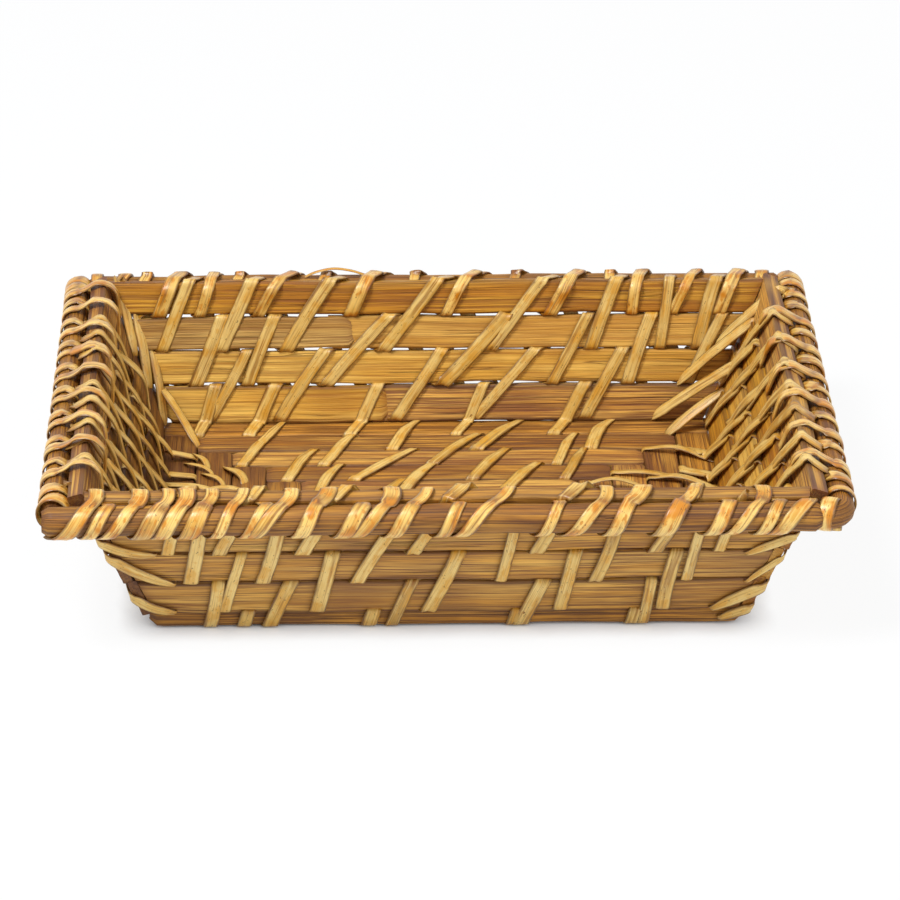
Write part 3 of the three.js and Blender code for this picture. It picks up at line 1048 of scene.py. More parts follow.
@dataclass
class Slats:
    """The flat slats of the walls, the foot and the floor."""

    sweep: Sweep
    cut: Cut = Cut(2.6, 46, 0.28, 1.5, 45.0)
    spacing: float = 9.0
    end_steps: Pair = (1.0, 3.0)
    waver: float = 0.35
    tone_play: float = 0.18
    width_play: float = 0.035
    end_tone: float = 0.3
    tip_reach: float = 3.0
    ragged: float = 0.6
    upright: float = math.radians(4)
    shaving: float = 0.3
    foot_overlap: float = 2.0
    foot_clearance: float = 0.2
    front_overrun: float = 0.6
    end_floor_rise: float = 0.5
    spread: float = 0.32
    end_spread: float = 0.85
    floor_spread: float = 0.7

    def _length(self, name: str, seat: Seat, length: Length, seed: int) -> bpy.types.Mesh:
        """Sweeps one length of cane.

        Args:
            name: the mesh's name.
            seat: where the slat lies.
            length: which part of the slat it is.
            seed: the draw's seed.

        Returns:
            The mesh.
        """
        side, (outward, upward) = seat.side, seat.face
        start = -seat.half if length.start is None else length.start
        stop = seat.half if length.stop is None else length.stop
        draw = random.Random(seed)
        sway, swell, lean = Ripple(seed, 130), Ripple(seed + 1, 90), Ripple(seed + 2, 170)
        course = Course()
        count = max(6, round((stop - start) / self.spacing))
        inner = [start + (stop - start) * index / count for index in range(1, count)]
        near, far = self.end_steps
        for travel in [start, start + near, start + far, *inner, stop - far, stop - near, stop]:
            up = self.waver * sway.at(travel)
            out = 0.5 * self.waver * lean.at(travel) + length.lift
            distance = seat.middle[0] + outward * out - upward * up
            z = seat.middle[1] + upward * out + outward * up
            to_end = min(travel - start, stop - travel)
            tone = min(1.0, max(0.0, length.tone + self.tone_play * swell.at(travel * 0.7)))
            tone *= min(1.0, self.end_tone + to_end / length.fade)
            share = length.tip + (1 - length.tip) * min(1.0, to_end / self.tip_reach) ** 0.5
            wide = share * (1 + self.width_play * swell.at(travel))
            course.add(side.world(travel, distance, z), side.heading(*seat.face), wide, tone)
        return self.sweep.run(name, [course], {
            **self.cut.inputs(seat.width * length.share + 2 * seat.spread, seat.thickness),
            "Ragged Ends": self.ragged * MM,
            "Slant Direction": side.world(1000.0, 0.0, 0.0).normalized(),
            "Slant Middle": seat.middle[1] * MM,
            "Slant": seat.slope / seat.half / MM,
            "Seed": draw.uniform(0, 9),
            "Finish": dressed(length.cane),
        })

    def wall(self, side: Side, row: int, lengths: list[Length], slot: str) -> bpy.types.Object:
        """Makes one wall slat.

        Args:
            side: the side.
            row: the row's number, from the top.
            lengths: the canes that it is pieced from.
            slot: the record's material slot; not used.

        Returns:
            The piece.
        """
        top = side.slit_rise(row) - SIZES.slit / 2
        bottom = side.slit_rise(row + 1) + SIZES.slit / 2
        if row == SIZES.wall_rows:
            bottom -= self.foot_overlap
        thickness = SIZES.slat + (side.rim_bulge if row == 1 else -self.shaving)
        middle = side.on_wall(thickness / 2 - SIZES.slat, (top + bottom) / 2)
        if side.is_long:
            lean, spread = side.flare, self.spread
            half = side.end_inner(middle[1]) - SIZES.joint_gap
        else:
            lean, spread = side.flare - self.upright, self.end_spread
            half = side.end_outer(middle[1])
        face = (-math.cos(lean), math.sin(lean))
        seat = Seat(side, middle, face, top - bottom, thickness, half, spread, math.tan(side.end_flare))
        name = f"wall_cane_{side.name}_{row}"
        seed = 100 + 10 * SIDES.index(side) + row
        meshes = [self._length(name, seat, length, seed + 50 * index) for index, length in enumerate(lengths)]
        return placed(joined(name, meshes), f"wall_slat_{side.name}_{row}")

    def foot(self, side: Side, length: Length, slot: str) -> bpy.types.Object:
        """Makes one foot slat, which stands on the strips under it.

        Args:
            side: the side.
            length: its cane.
            slot: the record's material slot; not used.

        Returns:
            The piece.
        """
        bottom = SIZES.strip + self.foot_clearance
        middle = (side.foot - SIZES.foot_width / 2, (bottom + SIZES.foot_height) / 2)
        half = side.end_foot
        if side.name == "front":
            half += self.front_overrun
        elif not side.is_long:
            half -= SIZES.foot_width + self.spread
        seat = Seat(side, middle, UPWARD, SIZES.foot_width, SIZES.foot_height - bottom, half, self.spread)
        name = f"foot_cane_{side.name}"
        mesh = self._length(name, seat, length, 300 + 10 * SIDES.index(side))
        return placed(joined(name, [mesh]), f"foot_slat_{side.name}")

    def floor(self, side: Side, hoop: int, length: Length, slot: str) -> bpy.types.Object:
        """Makes one floor slat.

        Args:
            side: the side.
            hoop: the hoop's number, from the wall inwards.
            length: its cane.
            slot: the record's material slot; not used.

        Returns:
            The piece.
        """
        outer, inner = side.hoop_outer(hoop), side.hoop_inner(hoop)
        rise = 0.0 if side.is_long else self.end_floor_rise
        middle = ((outer + inner) / 2, SIZES.foot_height - SIZES.slat / 2 + rise)
        if side.is_long:
            half = side.end_hoop_outer(hoop) + self.floor_spread
        else:
            half = side.end_hoop_inner(hoop) - SIZES.joint_gap
        seat = Seat(side, middle, UPWARD, outer - inner, SIZES.slat - self.shaving, half, self.floor_spread)
        name = f"floor_cane_{side.name}_{hoop}"
        mesh = self._length(name, seat, length, 400 + 20 * SIDES.index(side) + hoop)
        return placed(joined(name, [mesh]), f"floor_slat_{side.name}_{hoop}")


@dataclass
class RimRods:
    """The round canes along the rim."""

    sweep: Sweep
    cut: Cut = Cut(2.2, 30, 0.4, 2.6, 60.0)
    joint: float = 134.0
    left_end: float = 145.5
    bend: float = 6.4
    bend_steps: int = 8
    bend_clearance: float = 6.0
    back_overrun: float = 1.2
    end_overlap: float = 0.5
    end_widths: Pair = (0.72, 0.9)
    end_shade: float = 0.3
    sway: float = 0.3
    girth: float = 0.985
    girth_play: float = 0.03
    tone: float = 0.5
    tone_play: float = 0.25
    tone_shift: float = 40.0

    def _line(self, side: Side) -> list[Vector]:
        """The middle line of a rod, from its front or left end.

        Args:
            side: the side.

        Returns:
            The line's points, in metres.
        """
        height = SIZES.rod_height
        along, across = SIDES[1].rod_distance, SIDES[0].rod_distance
        if side.name == "front":
            return [Vector((x, -across, height)) * MM for x in self._spread(-self.left_end, self.joint)]
        if side.name == "back":
            half = along - SIDES[1].rod_radius + self.back_overrun
            return [Vector((x, across, height)) * MM for x in self._spread(-half, half)]
        back = across + SIDES[0].rod_radius - self.end_overlap
        if side.name == "left":
            front = -across + SIDES[0].rod_radius + SIZES.joint_gap
            return [Vector((-along, y, height)) * MM for y in self._spread(front, back)]
        line = [Vector((self.joint + SIZES.joint_gap, -across, height))]
        for step in range(self.bend_steps + 1):
            angle = math.pi / 2 * step / self.bend_steps
            x = along - self.bend + self.bend * math.sin(angle)
            line.append(Vector((x, -across + self.bend - self.bend * math.cos(angle), height)))
        straight = self._spread(-across + self.bend + self.bend_clearance, back)
        line += [Vector((along, y, height)) for y in straight]
        return [point * MM for point in line]

    @staticmethod
    def _spread(low: float, high: float) -> list[float]:
        """Spreads places evenly, with closer ones near the ends.

        Args:
            low: the first place.
            high: the last place.

        Returns:
            The places in order.
        """
        spacing, near, far = 8.0, 0.8, 2.2
        count = round((high - low) / spacing)
        inner = [low + (high - low) * step / count for step in range(1, count)]
        return [low, low + near, low + far, *inner, high - far, high - near, high]

    def _course(self, side: Side) -> Course:
        """The rod's middle line with its swellings and rounded ends.

        Args:
            side: the side.

        Returns:
            The course.
        """
        course = Course()
        sway, swell = Ripple(700 + SIDES.index(side), 120), Ripple(750 + SIDES.index(side), 60)
        up = Vector((0, 0, 1))
        line = self._line(side)
        ends = dict(zip((0, 1, len(line) - 1, len(line) - 2), self.end_widths * 2))
        for index, point in enumerate(line):
            walked = point.x / MM if side.is_long else point.y / MM
            width = (self.girth + self.girth_play * swell.at(walked)) * ends.get(index, 1.0)
            shade = self.end_shade if index in ends else 0.0
            tone = self.tone + self.tone_play * swell.at(walked + self.tone_shift) - shade
            course.add(point + up * (self.sway * MM * sway.at(walked)), up, width, tone)
        return course

    def rod(self, side: Side) -> bpy.types.Object:
        """Makes one rod.

        Args:
            side: the side.

        Returns:
            The piece.
        """
        name = f"rim_cane_{side.name}"
        mesh = self.sweep.run(name, [self._course(side)], {
            **self.cut.inputs(2 * side.rod_radius, 2 * side.rod_radius),
            "Seed": 1.0 + SIDES.index(side),
            "Finish": dressed(Cane.ROD),
        })
        return placed(joined(name, [mesh]), f"rim_rod_{side.name}")


# ---------------------------------------------------------------- binding strips


@dataclass(frozen=True)
class Section:
    """One turn of a strip in a side's section: the way in and down, and the way out and up."""

    inside: tuple[Pair, ...]
    outside: tuple[Pair, ...]

    @staticmethod
    def stations(corners: tuple[Pair, ...], step: float = 3.2, ease: float = 0.9) -> list[Station]:
        """Spreads points along a broken line, a little short of its corners.

        Args:
            corners: distance and height of each corner.
            step: the greatest distance between points.
            ease: how far from a corner the nearest point stays.

        Returns:
            For each point its share of the way, its place, and where a strip there faces.
        """
        lengths = [math.dist(a, b) for a, b in zip(corners, corners[1:])]
        total = sum(lengths)
        found = []
        walked = 0.0
        for index, (a, b) in enumerate(zip(corners, corners[1:])):
            length = lengths[index]
            start = 0.0 if index == 0 else min(ease, length * 0.4)
            stop = length if index == len(lengths) - 1 else length - min(ease, length * 0.4)
            count = max(1, math.ceil((stop - start) / step))
            way = ((b[0] - a[0]) / length, (b[1] - a[1]) / length)
            for one in range(count + 1):
                reach = start + (stop - start) * one / count
                place = (a[0] + way[0] * reach, a[1] + way[1] * reach)
                found.append(((walked + reach) / total, place, (way[1], -way[0])))
            walked += length
        return found


class Level(Enum):
    """The pairs of hoops that a strip binds, from the rim to the middle of the floor."""

    RIM = 0
    WALL_1 = 1
    WALL_2 = 2
    WALL_3 = 3
    WALL_FOOT = 4
    FOOT_FLOOR = 5
    FLOOR_1 = 6
    FLOOR_2 = 7
    FLOOR_3 = 8
    FLOOR_4 = 9

    @property
    def is_flat(self) -> bool:
        """Whether it lies on the floor."""
        return self.hoop >= 0

    @property
    def hoop(self) -> int:
        """The outer one of a floor pair's hoops, 0 being the foot."""
        return self.value - Level.FOOT_FLOOR.value

    @property
    def label(self) -> str:
        """The two hoops that it binds, as its piece and its solid are called."""
        kind, _, hoop = self.name.lower().partition("_")
        return f"{kind}_{hoop}_{int(hoop) + 1}" if hoop.isdigit() else f"{kind}_{hoop}"

    def section(self, side: Side) -> Section:
        """The turn's section on a side.

        Args:
            side: the side.

        Returns:
            The section, in distance and height.
        """
        stand, slat, slit = SIZES.stand, SIZES.slat, SIZES.slit
        deck, under = SIZES.foot_height + stand, SIZES.foot_height - slat - stand
        floor_slot = side.foot - SIZES.foot_width - slit / 2
        sole = (side.outer(SIZES.sole_rise) + stand, SIZES.strip / 2 + SIZES.sole_lift)
        if self in (Level.WALL_1, Level.WALL_2, Level.WALL_3):
            top, bottom = side.slit_rise(self.value), side.slit_rise(self.value + 2)
            dive, out = -slat / 2, stand
            if self is Level.WALL_1:
                out += side.rim_bulge
                dive, top = out, top + 0.4
            return Section(
                (side.on_wall(dive, top), side.on_wall(-slat - stand, top),
                 side.on_wall(-slat - stand, bottom), side.on_wall(-slat / 2, bottom)),
                (side.on_wall(-slat / 2, bottom), side.on_wall(stand, bottom),
                 side.on_wall(out, top), side.on_wall(dive - 0.2, top)),
            )
        if self is Level.WALL_FOOT:
            top = side.slit_rise(SIZES.wall_rows)
            return Section(
                (side.on_wall(-slat / 2, top), side.on_wall(-slat - stand, top),
                 (side.inner(deck) - stand, deck), (floor_slot, deck), (floor_slot, SIZES.foot_height / 2)),
                ((floor_slot, SIZES.foot_height / 2), (floor_slot, sole[1]), sole,
                 side.on_wall(stand, top), side.on_wall(-slat / 2, top)),
            )
        if self is Level.FOOT_FLOOR:
            slot = side.hoop_inner(1) - slit / 2
            outside = (side.outer(deck) + stand, deck)
            return Section(
                ((side.inner(deck) + slat / 2, deck), (slot, deck), (slot, SIZES.foot_height - slat / 2)),
                ((slot, SIZES.foot_height - slat / 2), (slot, under), (floor_slot, sole[1]), sole,
                 outside, (side.inner(deck) + slat / 2, deck)),
            )
        outer, inner = side.hoop_outer(self.hoop) + slit / 2, side.hoop_inner(self.hoop + 1) - slit / 2
        middle = SIZES.foot_height - slat / 2
        return Section(
            ((outer, middle), (outer, deck), (inner, deck), (inner, middle)),
            ((inner, middle), (inner, under), (outer, under), (outer, middle)),
        )

    def reach(self, side: Side) -> Pair:
        """How far along a side its upper and lower slits reach.

        Args:
            side: the side.

        Returns:
            The upper slit's reach and the lower one's.
        """
        if self.is_flat:
            is_foot = self is Level.FOOT_FLOOR
            upper = side.end_inner(SIZES.foot_height) if is_foot else side.end_hoop_outer(self.hoop)
            return upper, side.end_hoop_outer(self.hoop + 2)
        upper = side.end_inner(SIZES.slit_height(self.value))
        if self is Level.WALL_FOOT:
            return upper, side.end_foot - SIZES.foot_width
        return upper, side.end_inner(SIZES.slit_height(self.value + 2))


@dataclass
class Stitching:
    """Where one level's strip goes through its slits, side by side.

    Each side's list alternates: in at the lower slit, up outside to the upper slit, down
    inside to the lower slit, and so on, ending at the upper slit. The numbers are travel
    along the side from its middle.
    """

    level: Level
    turns: dict[str, list[float]]


def from_inside(runs: list[Pair], arrival: float, departure: float) -> list[float]:
    """Lists slit places from the inside runs seen on the back wall, given left to right in x.

    Args:
        runs: upper and lower x of each run.
        arrival: x of the lower slit place where the strip comes from the right side.
        departure: x of the upper slit place where it leaves for the left side.

    Returns:
        The places in travel order.
    """
    places = [-arrival]
    for upper, lower in sorted(runs, reverse=True):
        places += [-upper, -lower]
    places.append(-departure)
    return places


def from_outside(runs: list[Pair]) -> list[float]:
    """Lists slit places from the outside runs seen on the front wall, upper and lower x."""
    return [place for upper, lower in sorted(runs) for place in (lower, upper)]


@dataclass(frozen=True)
class Lay:
    """How a strip lies on one side where the photo shows no single stitches."""

    pitch: float
    run: float
    slack: float
    wide: float


def lay_of(side: Side, level: Level) -> Lay:
    """Chooses how the strips lie: steep and slack on the left, long and slanting on the right.

    Args:
        side: the side.
        level: the pair of hoops.

    Returns:
        The lay.
    """
    if side.is_long:
        return Lay(29.0, 16.0, 0.5, 1.32 if level is Level.RIM and side.name == "front" else 1.2)
    if level.is_flat:
        return Lay(22.0, 13.0, 3.2, 0.8)
    if side.name == "left":
        return Lay(16.0, -4.0, 3.2, 1.2)
    return Lay(22.0, 24.0, 1.4, 1.42)


def even_turns(level: Level, side: Side, seed: int, margin: float = 7.0) -> list[float]:
    """Spreads turns along a side where the photo shows no single stitches.

    Args:
        level: the pair of hoops.
        side: the side.
        seed: the draw's seed.
        margin: how far the strip keeps from the corners.

    Returns:
        The places in travel order.
    """
    lay = lay_of(side, level)
    draw = random.Random(seed)
    stagger, place_play, run_play = 0.37, 2.4, 1.0
    upper, lower = level.reach(side)
    shift = level.value * lay.pitch * stagger
    low, high = margin - lower, upper - margin
    first = math.ceil((low - lay.run - shift) / lay.pitch)
    places = []
    start = shift + first * lay.pitch
    while start <= high:
        drift = draw.uniform(-place_play, place_play)
        places += [start + drift, start + lay.run + drift + draw.uniform(-run_play, run_play)]
        start += lay.pitch
    return places[1:-1]


@dataclass(frozen=True)
class Wrap:
    """One turn of the rim's strip round the rod, or round the rod and the top slat."""

    under: float
    over: float
    is_full: bool = True
    wide: float = 1.0


@dataclass(frozen=True)
class Brace:
    """A strip that goes round an outside corner, from one side to the next."""

    first: int
    second: int
    start: Pair
    stop: Pair
    wide: float = 1.0
    tone: float = 0.6


@dataclass
class Bindings:
    """The pale strips that bind each hoop to the next."""

    sweep: Sweep
    cut: Cut = Cut(1.25, 10, 0.05, 0.9, 12.0)
    squareness: float = 0.3
    width_play: Pair = (0.84, 1.16)
    slack_play: Pair = (0.5, 1.3)
    kick_play: Pair = (0.6, 2.2)
    least_tone: float = 0.22
    tone_play: Pair = (2.6, 1.7)
    # painted shade, partly stain: dive_tone and dive_fade darken each run's ends where it goes into a slit,
    # and tuck_tone darkens tucked ends
    dive_tone: float = 0.2
    dive_fade: float = 5.0
    tuck_tone: float = 0.1
    point_start: float = 0.4
    point_growth: float = 1.5
    wall_slack: float = 0.4
    low_slack: float = 0.1
    crossing_stand: float = 0.8
    crossing_spacing: float = 5.0
    crossing_widths: Pair = (0.95, 1.2)
    crossing_tones: Pair = (0.5, 0.85)
    crossing_tuck: Pair = (0.7, 0.5)
    corner_stand: float = 0.25
    brace_sag: float = 1.6
    rim_kick: float = 3.8
    crest: int = 93
    low: int = -105
    ring_points: int = 20
    ring_arc: Pair = (-110, 390)
    ring_drift: float = 0.0035
    ring_growth: float = 0.004
    back_crest: float = 1.3
    other_crest: float = 0.1
    over_slack: float = 0.2
    brace_lift: float = 0.2

    def _run(
        self, course: Course, side: Side, corners: tuple[Pair, ...], start: float, stop: float,
        draw: random.Random, slack: float, wide: float = 1.0, kick: float = 0.0, is_pointed: bool = False,
    ) -> None:
        """Adds one run from slit to slit.

        Args:
            course: the strip so far.
            side: the side that it runs on.
            corners: the run's corners in the side's section.
            start: travel where it starts.
            stop: travel where it ends.
            draw: the draws for its width, tone and bend.
            slack: how far its middle stands off.
            wide: share of the usual width.
            kick: how far it goes on along the side before it turns, early on, or late where negative.
            is_pointed: whether it narrows where it turns.
        """
        width = wide * draw.uniform(*self.width_play)
        tone = self.least_tone + (1 - self.least_tone) * draw.betavariate(*self.tone_play)
        bend = draw.uniform(-1.0, 1.0)
        slack *= draw.uniform(*self.slack_play)
        for share, place, facing in Section.stations(corners):
            belly = math.sin(math.pi * share)
            near = share if kick >= 0 else 1 - share
            ahead = near * (1 - near) ** 2 * 27 / 4  # 1 where it is greatest
            travel = start + (stop - start) * share + bend * belly + kick * ahead
            out = slack * belly ** 2
            point = side.world(travel, place[0] + facing[0] * out, place[1] + facing[1] * out)
            # painted shade of the slit, partly stain: the run is darker where it dives into a slit
            slit_shade_and_stain = min(1.0, self.dive_tone + self.dive_fade * min(share, 1 - share))
            point_share = min(1.0, self.point_start + self.point_growth * near) if is_pointed else 1.0
            course.add(point, side.heading(*facing), width * point_share, tone * slit_shade_and_stain)

    def _crossing(
        self, course: Course, sides: tuple[Side, Side], sections: tuple[Section, Section], places: Pair,
        draw: random.Random,
    ) -> None:
        """Takes the strip over an inside corner from one side to the next.

        Args:
            course: the strip so far.
            sides: the side that it leaves and the side that it comes to.
            sections: their sections.
            places: travel where it leaves the one and where it meets the other.
            draw: the draws.
        """
        first = Section.stations(sections[0].inside)
        second = Section.stations(sections[1].inside)
        head = [one for one in first if one[0] < 0.1]
        tail = [one for one in second if one[0] > 0.9]
        width, tone = draw.uniform(*self.crossing_widths), draw.uniform(*self.crossing_tones)
        tuck_width, tuck_tone = self.crossing_tuck
        a = sides[0].world(places[0], *head[-1][1])
        b = sides[1].world(places[1], *tail[0][1])
        inward = Vector((-math.copysign(1, a.x + b.x), -math.copysign(1, a.y + b.y), 0.9)).normalized()
        for _, place, _ in head:
            course.add(sides[0].world(places[0], *place), inward, width * tuck_width, tone * tuck_tone)
        count = max(3, round((b - a).length / MM / self.crossing_spacing))
        for one in range(1, count):
            share = one / count
            point = a.lerp(b, share) + inward * (self.crossing_stand * MM * math.sin(math.pi * share))
            course.add(point, inward, width, tone)
        for _, place, _ in tail:
            course.add(sides[1].world(places[1], *place), inward, width * tuck_width, tone * tuck_tone)

    def strips(self, stitching: Stitching) -> list[Course]:
        """Lays one unbroken strip round the walls, or one for each side of the floor.

        Args:
            stitching: where it goes through its slits.

        Returns:
            The strips' courses.
        """
        level = stitching.level
        draw = random.Random(900 + level.value)
        course = Course()
        courses = [course]
        before: tuple[Side, float] | None = None
        for side in SIDES:
            places = stitching.turns.get(side.name)
            if not places:
                continue
            section = level.section(side)
            lay = lay_of(side, level)
            if before is not None and level.is_flat:
                course = Course()
                courses.append(course)
            elif before is not None:
                sections = (level.section(before[0]), section)
                self._crossing(course, (before[0], side), sections, (before[1], places[0]), draw)
            for index, (start, stop) in enumerate(zip(places, places[1:])):
                is_outside = index % 2 == 0
                if is_outside:
                    is_low = level.is_flat or level is Level.WALL_FOOT
                    way, slack = section.outside, (self.low_slack if is_low else self.wall_slack)
                else:
                    way, slack = section.inside, lay.slack
                is_pointed = level.is_flat and side.is_long and not is_outside
                kick = 0.0
                if is_pointed:
                    kick = draw.uniform(*self.kick_play) * (-1 if side.name == "front" else 1)
                self._run(course, side, way, start, stop, draw, slack, lay.wide, kick, is_pointed)
            before = (side, places[-1])
        return courses

    def _arc(self, side: Side, first: int, last: int) -> tuple[Pair, ...]:
        """Corners on the way round a rod, from one angle to another in degrees, 90 being the top.

        Args:
            side: the side.
            first: the first angle.
            last: the last angle.

        Returns:
            The corners' distance and height.
        """
        radius = side.rod_radius + SIZES.stand
        steps = max(2, round(abs(last - first) / 22))
        angles = [math.radians(first + (last - first) * step / steps) for step in range(steps + 1)]
        return tuple(
            (side.rod_distance + radius * math.cos(angle), SIZES.rod_height + radius * math.sin(angle))
            for angle in angles
        )

    def rim(self, side: Side, wraps: list[Wrap]) -> Course:
        """Winds the rim's strip along one side.

        Args:
            side: the side.
            wraps: the turns in travel order.

        Returns:
            The strip's course.
        """
        draw = random.Random(880 + SIDES.index(side))
        lay = lay_of(side, Level.RIM)
        slat, stand = SIZES.slat, SIZES.stand
        top, slit = side.slit_rise(1) - SIZES.slit / 2, side.slit_rise(2)
        crest = self._arc(side, self.crest, self.crest)[0]
        lift = self.back_crest if side.name == "back" else self.other_crest
        over = (crest[0], crest[1] + lift)
        course = Course()
        last = wraps[0].under
        for wrap in wraps:
            wide = wrap.wide * lay.wide
            if wrap.is_full:
                through = side.on_wall(-slat / 2, slit)
                inside = (
                    over,
                    side.on_wall(-slat * 0.55, top + stand + 1.0),
                    side.on_wall(-slat - stand - 0.7, top - 2.4),
                    side.on_wall(-slat - stand, slit),
                    through,
                )
                outside = (through, side.on_wall(stand, slit), *self._arc(side, self.low, 66), over)
                slack = lay.slack
            else:
                inside = self._arc(side, self.crest, self.low + 360)
                outside = self._arc(side, self.low, self.crest)
                slack = 0.0
            if course.places:
                kick = self.rim_kick if side.name == "front" and wrap.is_full else 0.0
                self._run(course, side, inside, last, wrap.under, draw, slack, wide, kick)
            self._run(course, side, outside, wrap.under, wrap.over, draw, self.over_slack, wide)
            last = wrap.over
        self._run(course, side, self._arc(side, self.crest, 240), last, last + 1.5, draw, 0.0, wide)
        return course

    def ring(self, side: Side, travel: float, turn: float, wide: float, tone: float) -> Course:
        """Puts one loose turn round the bent rod of a front corner.

        Args:
            side: the side whose rod bends round the corner.
            travel: how far before the corner's middle line, where the turn is.
            turn: how far the rod has turned there.
            wide: share of the usual width.
            tone: the strip's tone.

        Returns:
            The turn's course.
        """
        middle = side.world(0.0, side.rod_distance, SIZES.rod_height)
        middle.y = -(SIDES[0].rod_distance - travel) * MM
        ahead = Vector((-side.out[0] * math.sin(turn), math.cos(turn), 0.0))
        middle += Vector((-side.out[0], 0, 0)) * (1 - math.cos(turn)) * RimRods.bend * MM
        outward = Vector((side.out[0] * math.cos(turn), math.sin(turn), 0.0))
        outward = (outward - ahead * outward.dot(ahead)).normalized()
        course = Course()
        radius = (side.rod_radius + SIZES.stand) * MM
        first, arc = self.ring_arc
        last = self.ring_points - 1
        for step in range(self.ring_points):
            angle = math.radians(first + arc * step / last)
            spoke = outward * math.cos(angle) + Vector((0, 0, 1)) * math.sin(angle)
            drift = ahead * (self.ring_drift * (step / last - 0.5))
            course.add(middle + spoke * radius * (1 + self.ring_growth * step) + drift, spoke, wide, tone)
        return course

    def brace(self, brace: Brace) -> Course:
        """Lays a strip round an outside corner.

        Args:
            brace: where it starts and stops.

        Returns:
            The strip's course.
        """
        first, second = SIDES[brace.first], SIDES[brace.second]
        height = (brace.start[1] + brace.stop[1]) / 2
        stand = SIZES.stand + self.brace_lift
        faces = []
        ends = []
        for side, (travel, z) in ((first, brace.start), (second, brace.stop)):
            rise = z / math.cos(side.flare)
            depths = (-SIZES.slat / 2, stand)
            ends.append([side.world(travel, *side.on_wall(depth, rise)) for depth in depths])
            faces.append(side.heading(math.cos(side.flare), -math.sin(side.flare)))
        long_side, end_side = (first, second) if first.is_long else (second, first)
        corner = long_side.world(0.0, long_side.outer(height) + self.corner_stand, height)
        corner.x = end_side.out[0] * (end_side.outer(height) + self.corner_stand) * MM
        course = Course()
        course.add(ends[0][0], faces[0], brace.wide * 0.3, self.tuck_tone)
        for share, wide in ((0.0, 0.4), (0.3, 0.9), (0.6, 1.0), (0.85, 1.0)):
            course.add(ends[0][1].lerp(corner, share), faces[0], brace.wide * wide, brace.tone * wide)
        course.add(corner, (faces[0] + faces[1]).normalized(), brace.wide, brace.tone * 0.8)
        for share, wide in ((0.15, 1.0), (0.4, 1.0), (0.7, 0.9), (0.9, 0.6), (1.0, 0.3)):
            sag = Vector((0, 0, -self.brace_sag * MM * math.sin(math.pi * share)))
            course.add(corner.lerp(ends[1][1], share) + sag, faces[1], brace.wide * wide, brace.tone * wide)
        course.add(ends[1][0], faces[1], brace.wide * 0.2, self.tuck_tone)
        return course

    def piece(self, name: str, node: str, courses: list[Course], cane: Cane = Cane.PEEL) -> bpy.types.Object:
        """Sweeps strips into a piece.

        Args:
            name: the piece's name.
            node: the solid that it dresses.
            courses: the lines to follow.
            cane: its peel.

        Returns:
            The piece.
        """
        mesh = self.sweep.run(name, courses, {
            **self.cut.inputs(SIZES.strip_width, SIZES.strip),
            "Squareness": self.squareness,
            "Seed": float(len(node)),
            "Finish": dressed(cane),
        })
        return placed(joined(name, [mesh]), node)


# ---------------------------------------------------------------- stage


@dataclass(frozen=True)
class Lamp:
    """A soft square lamp that looks at the basket: place and size in metres, power in watts."""

    name: str
    place: tuple[float, float, float]
    size: float
    power: float


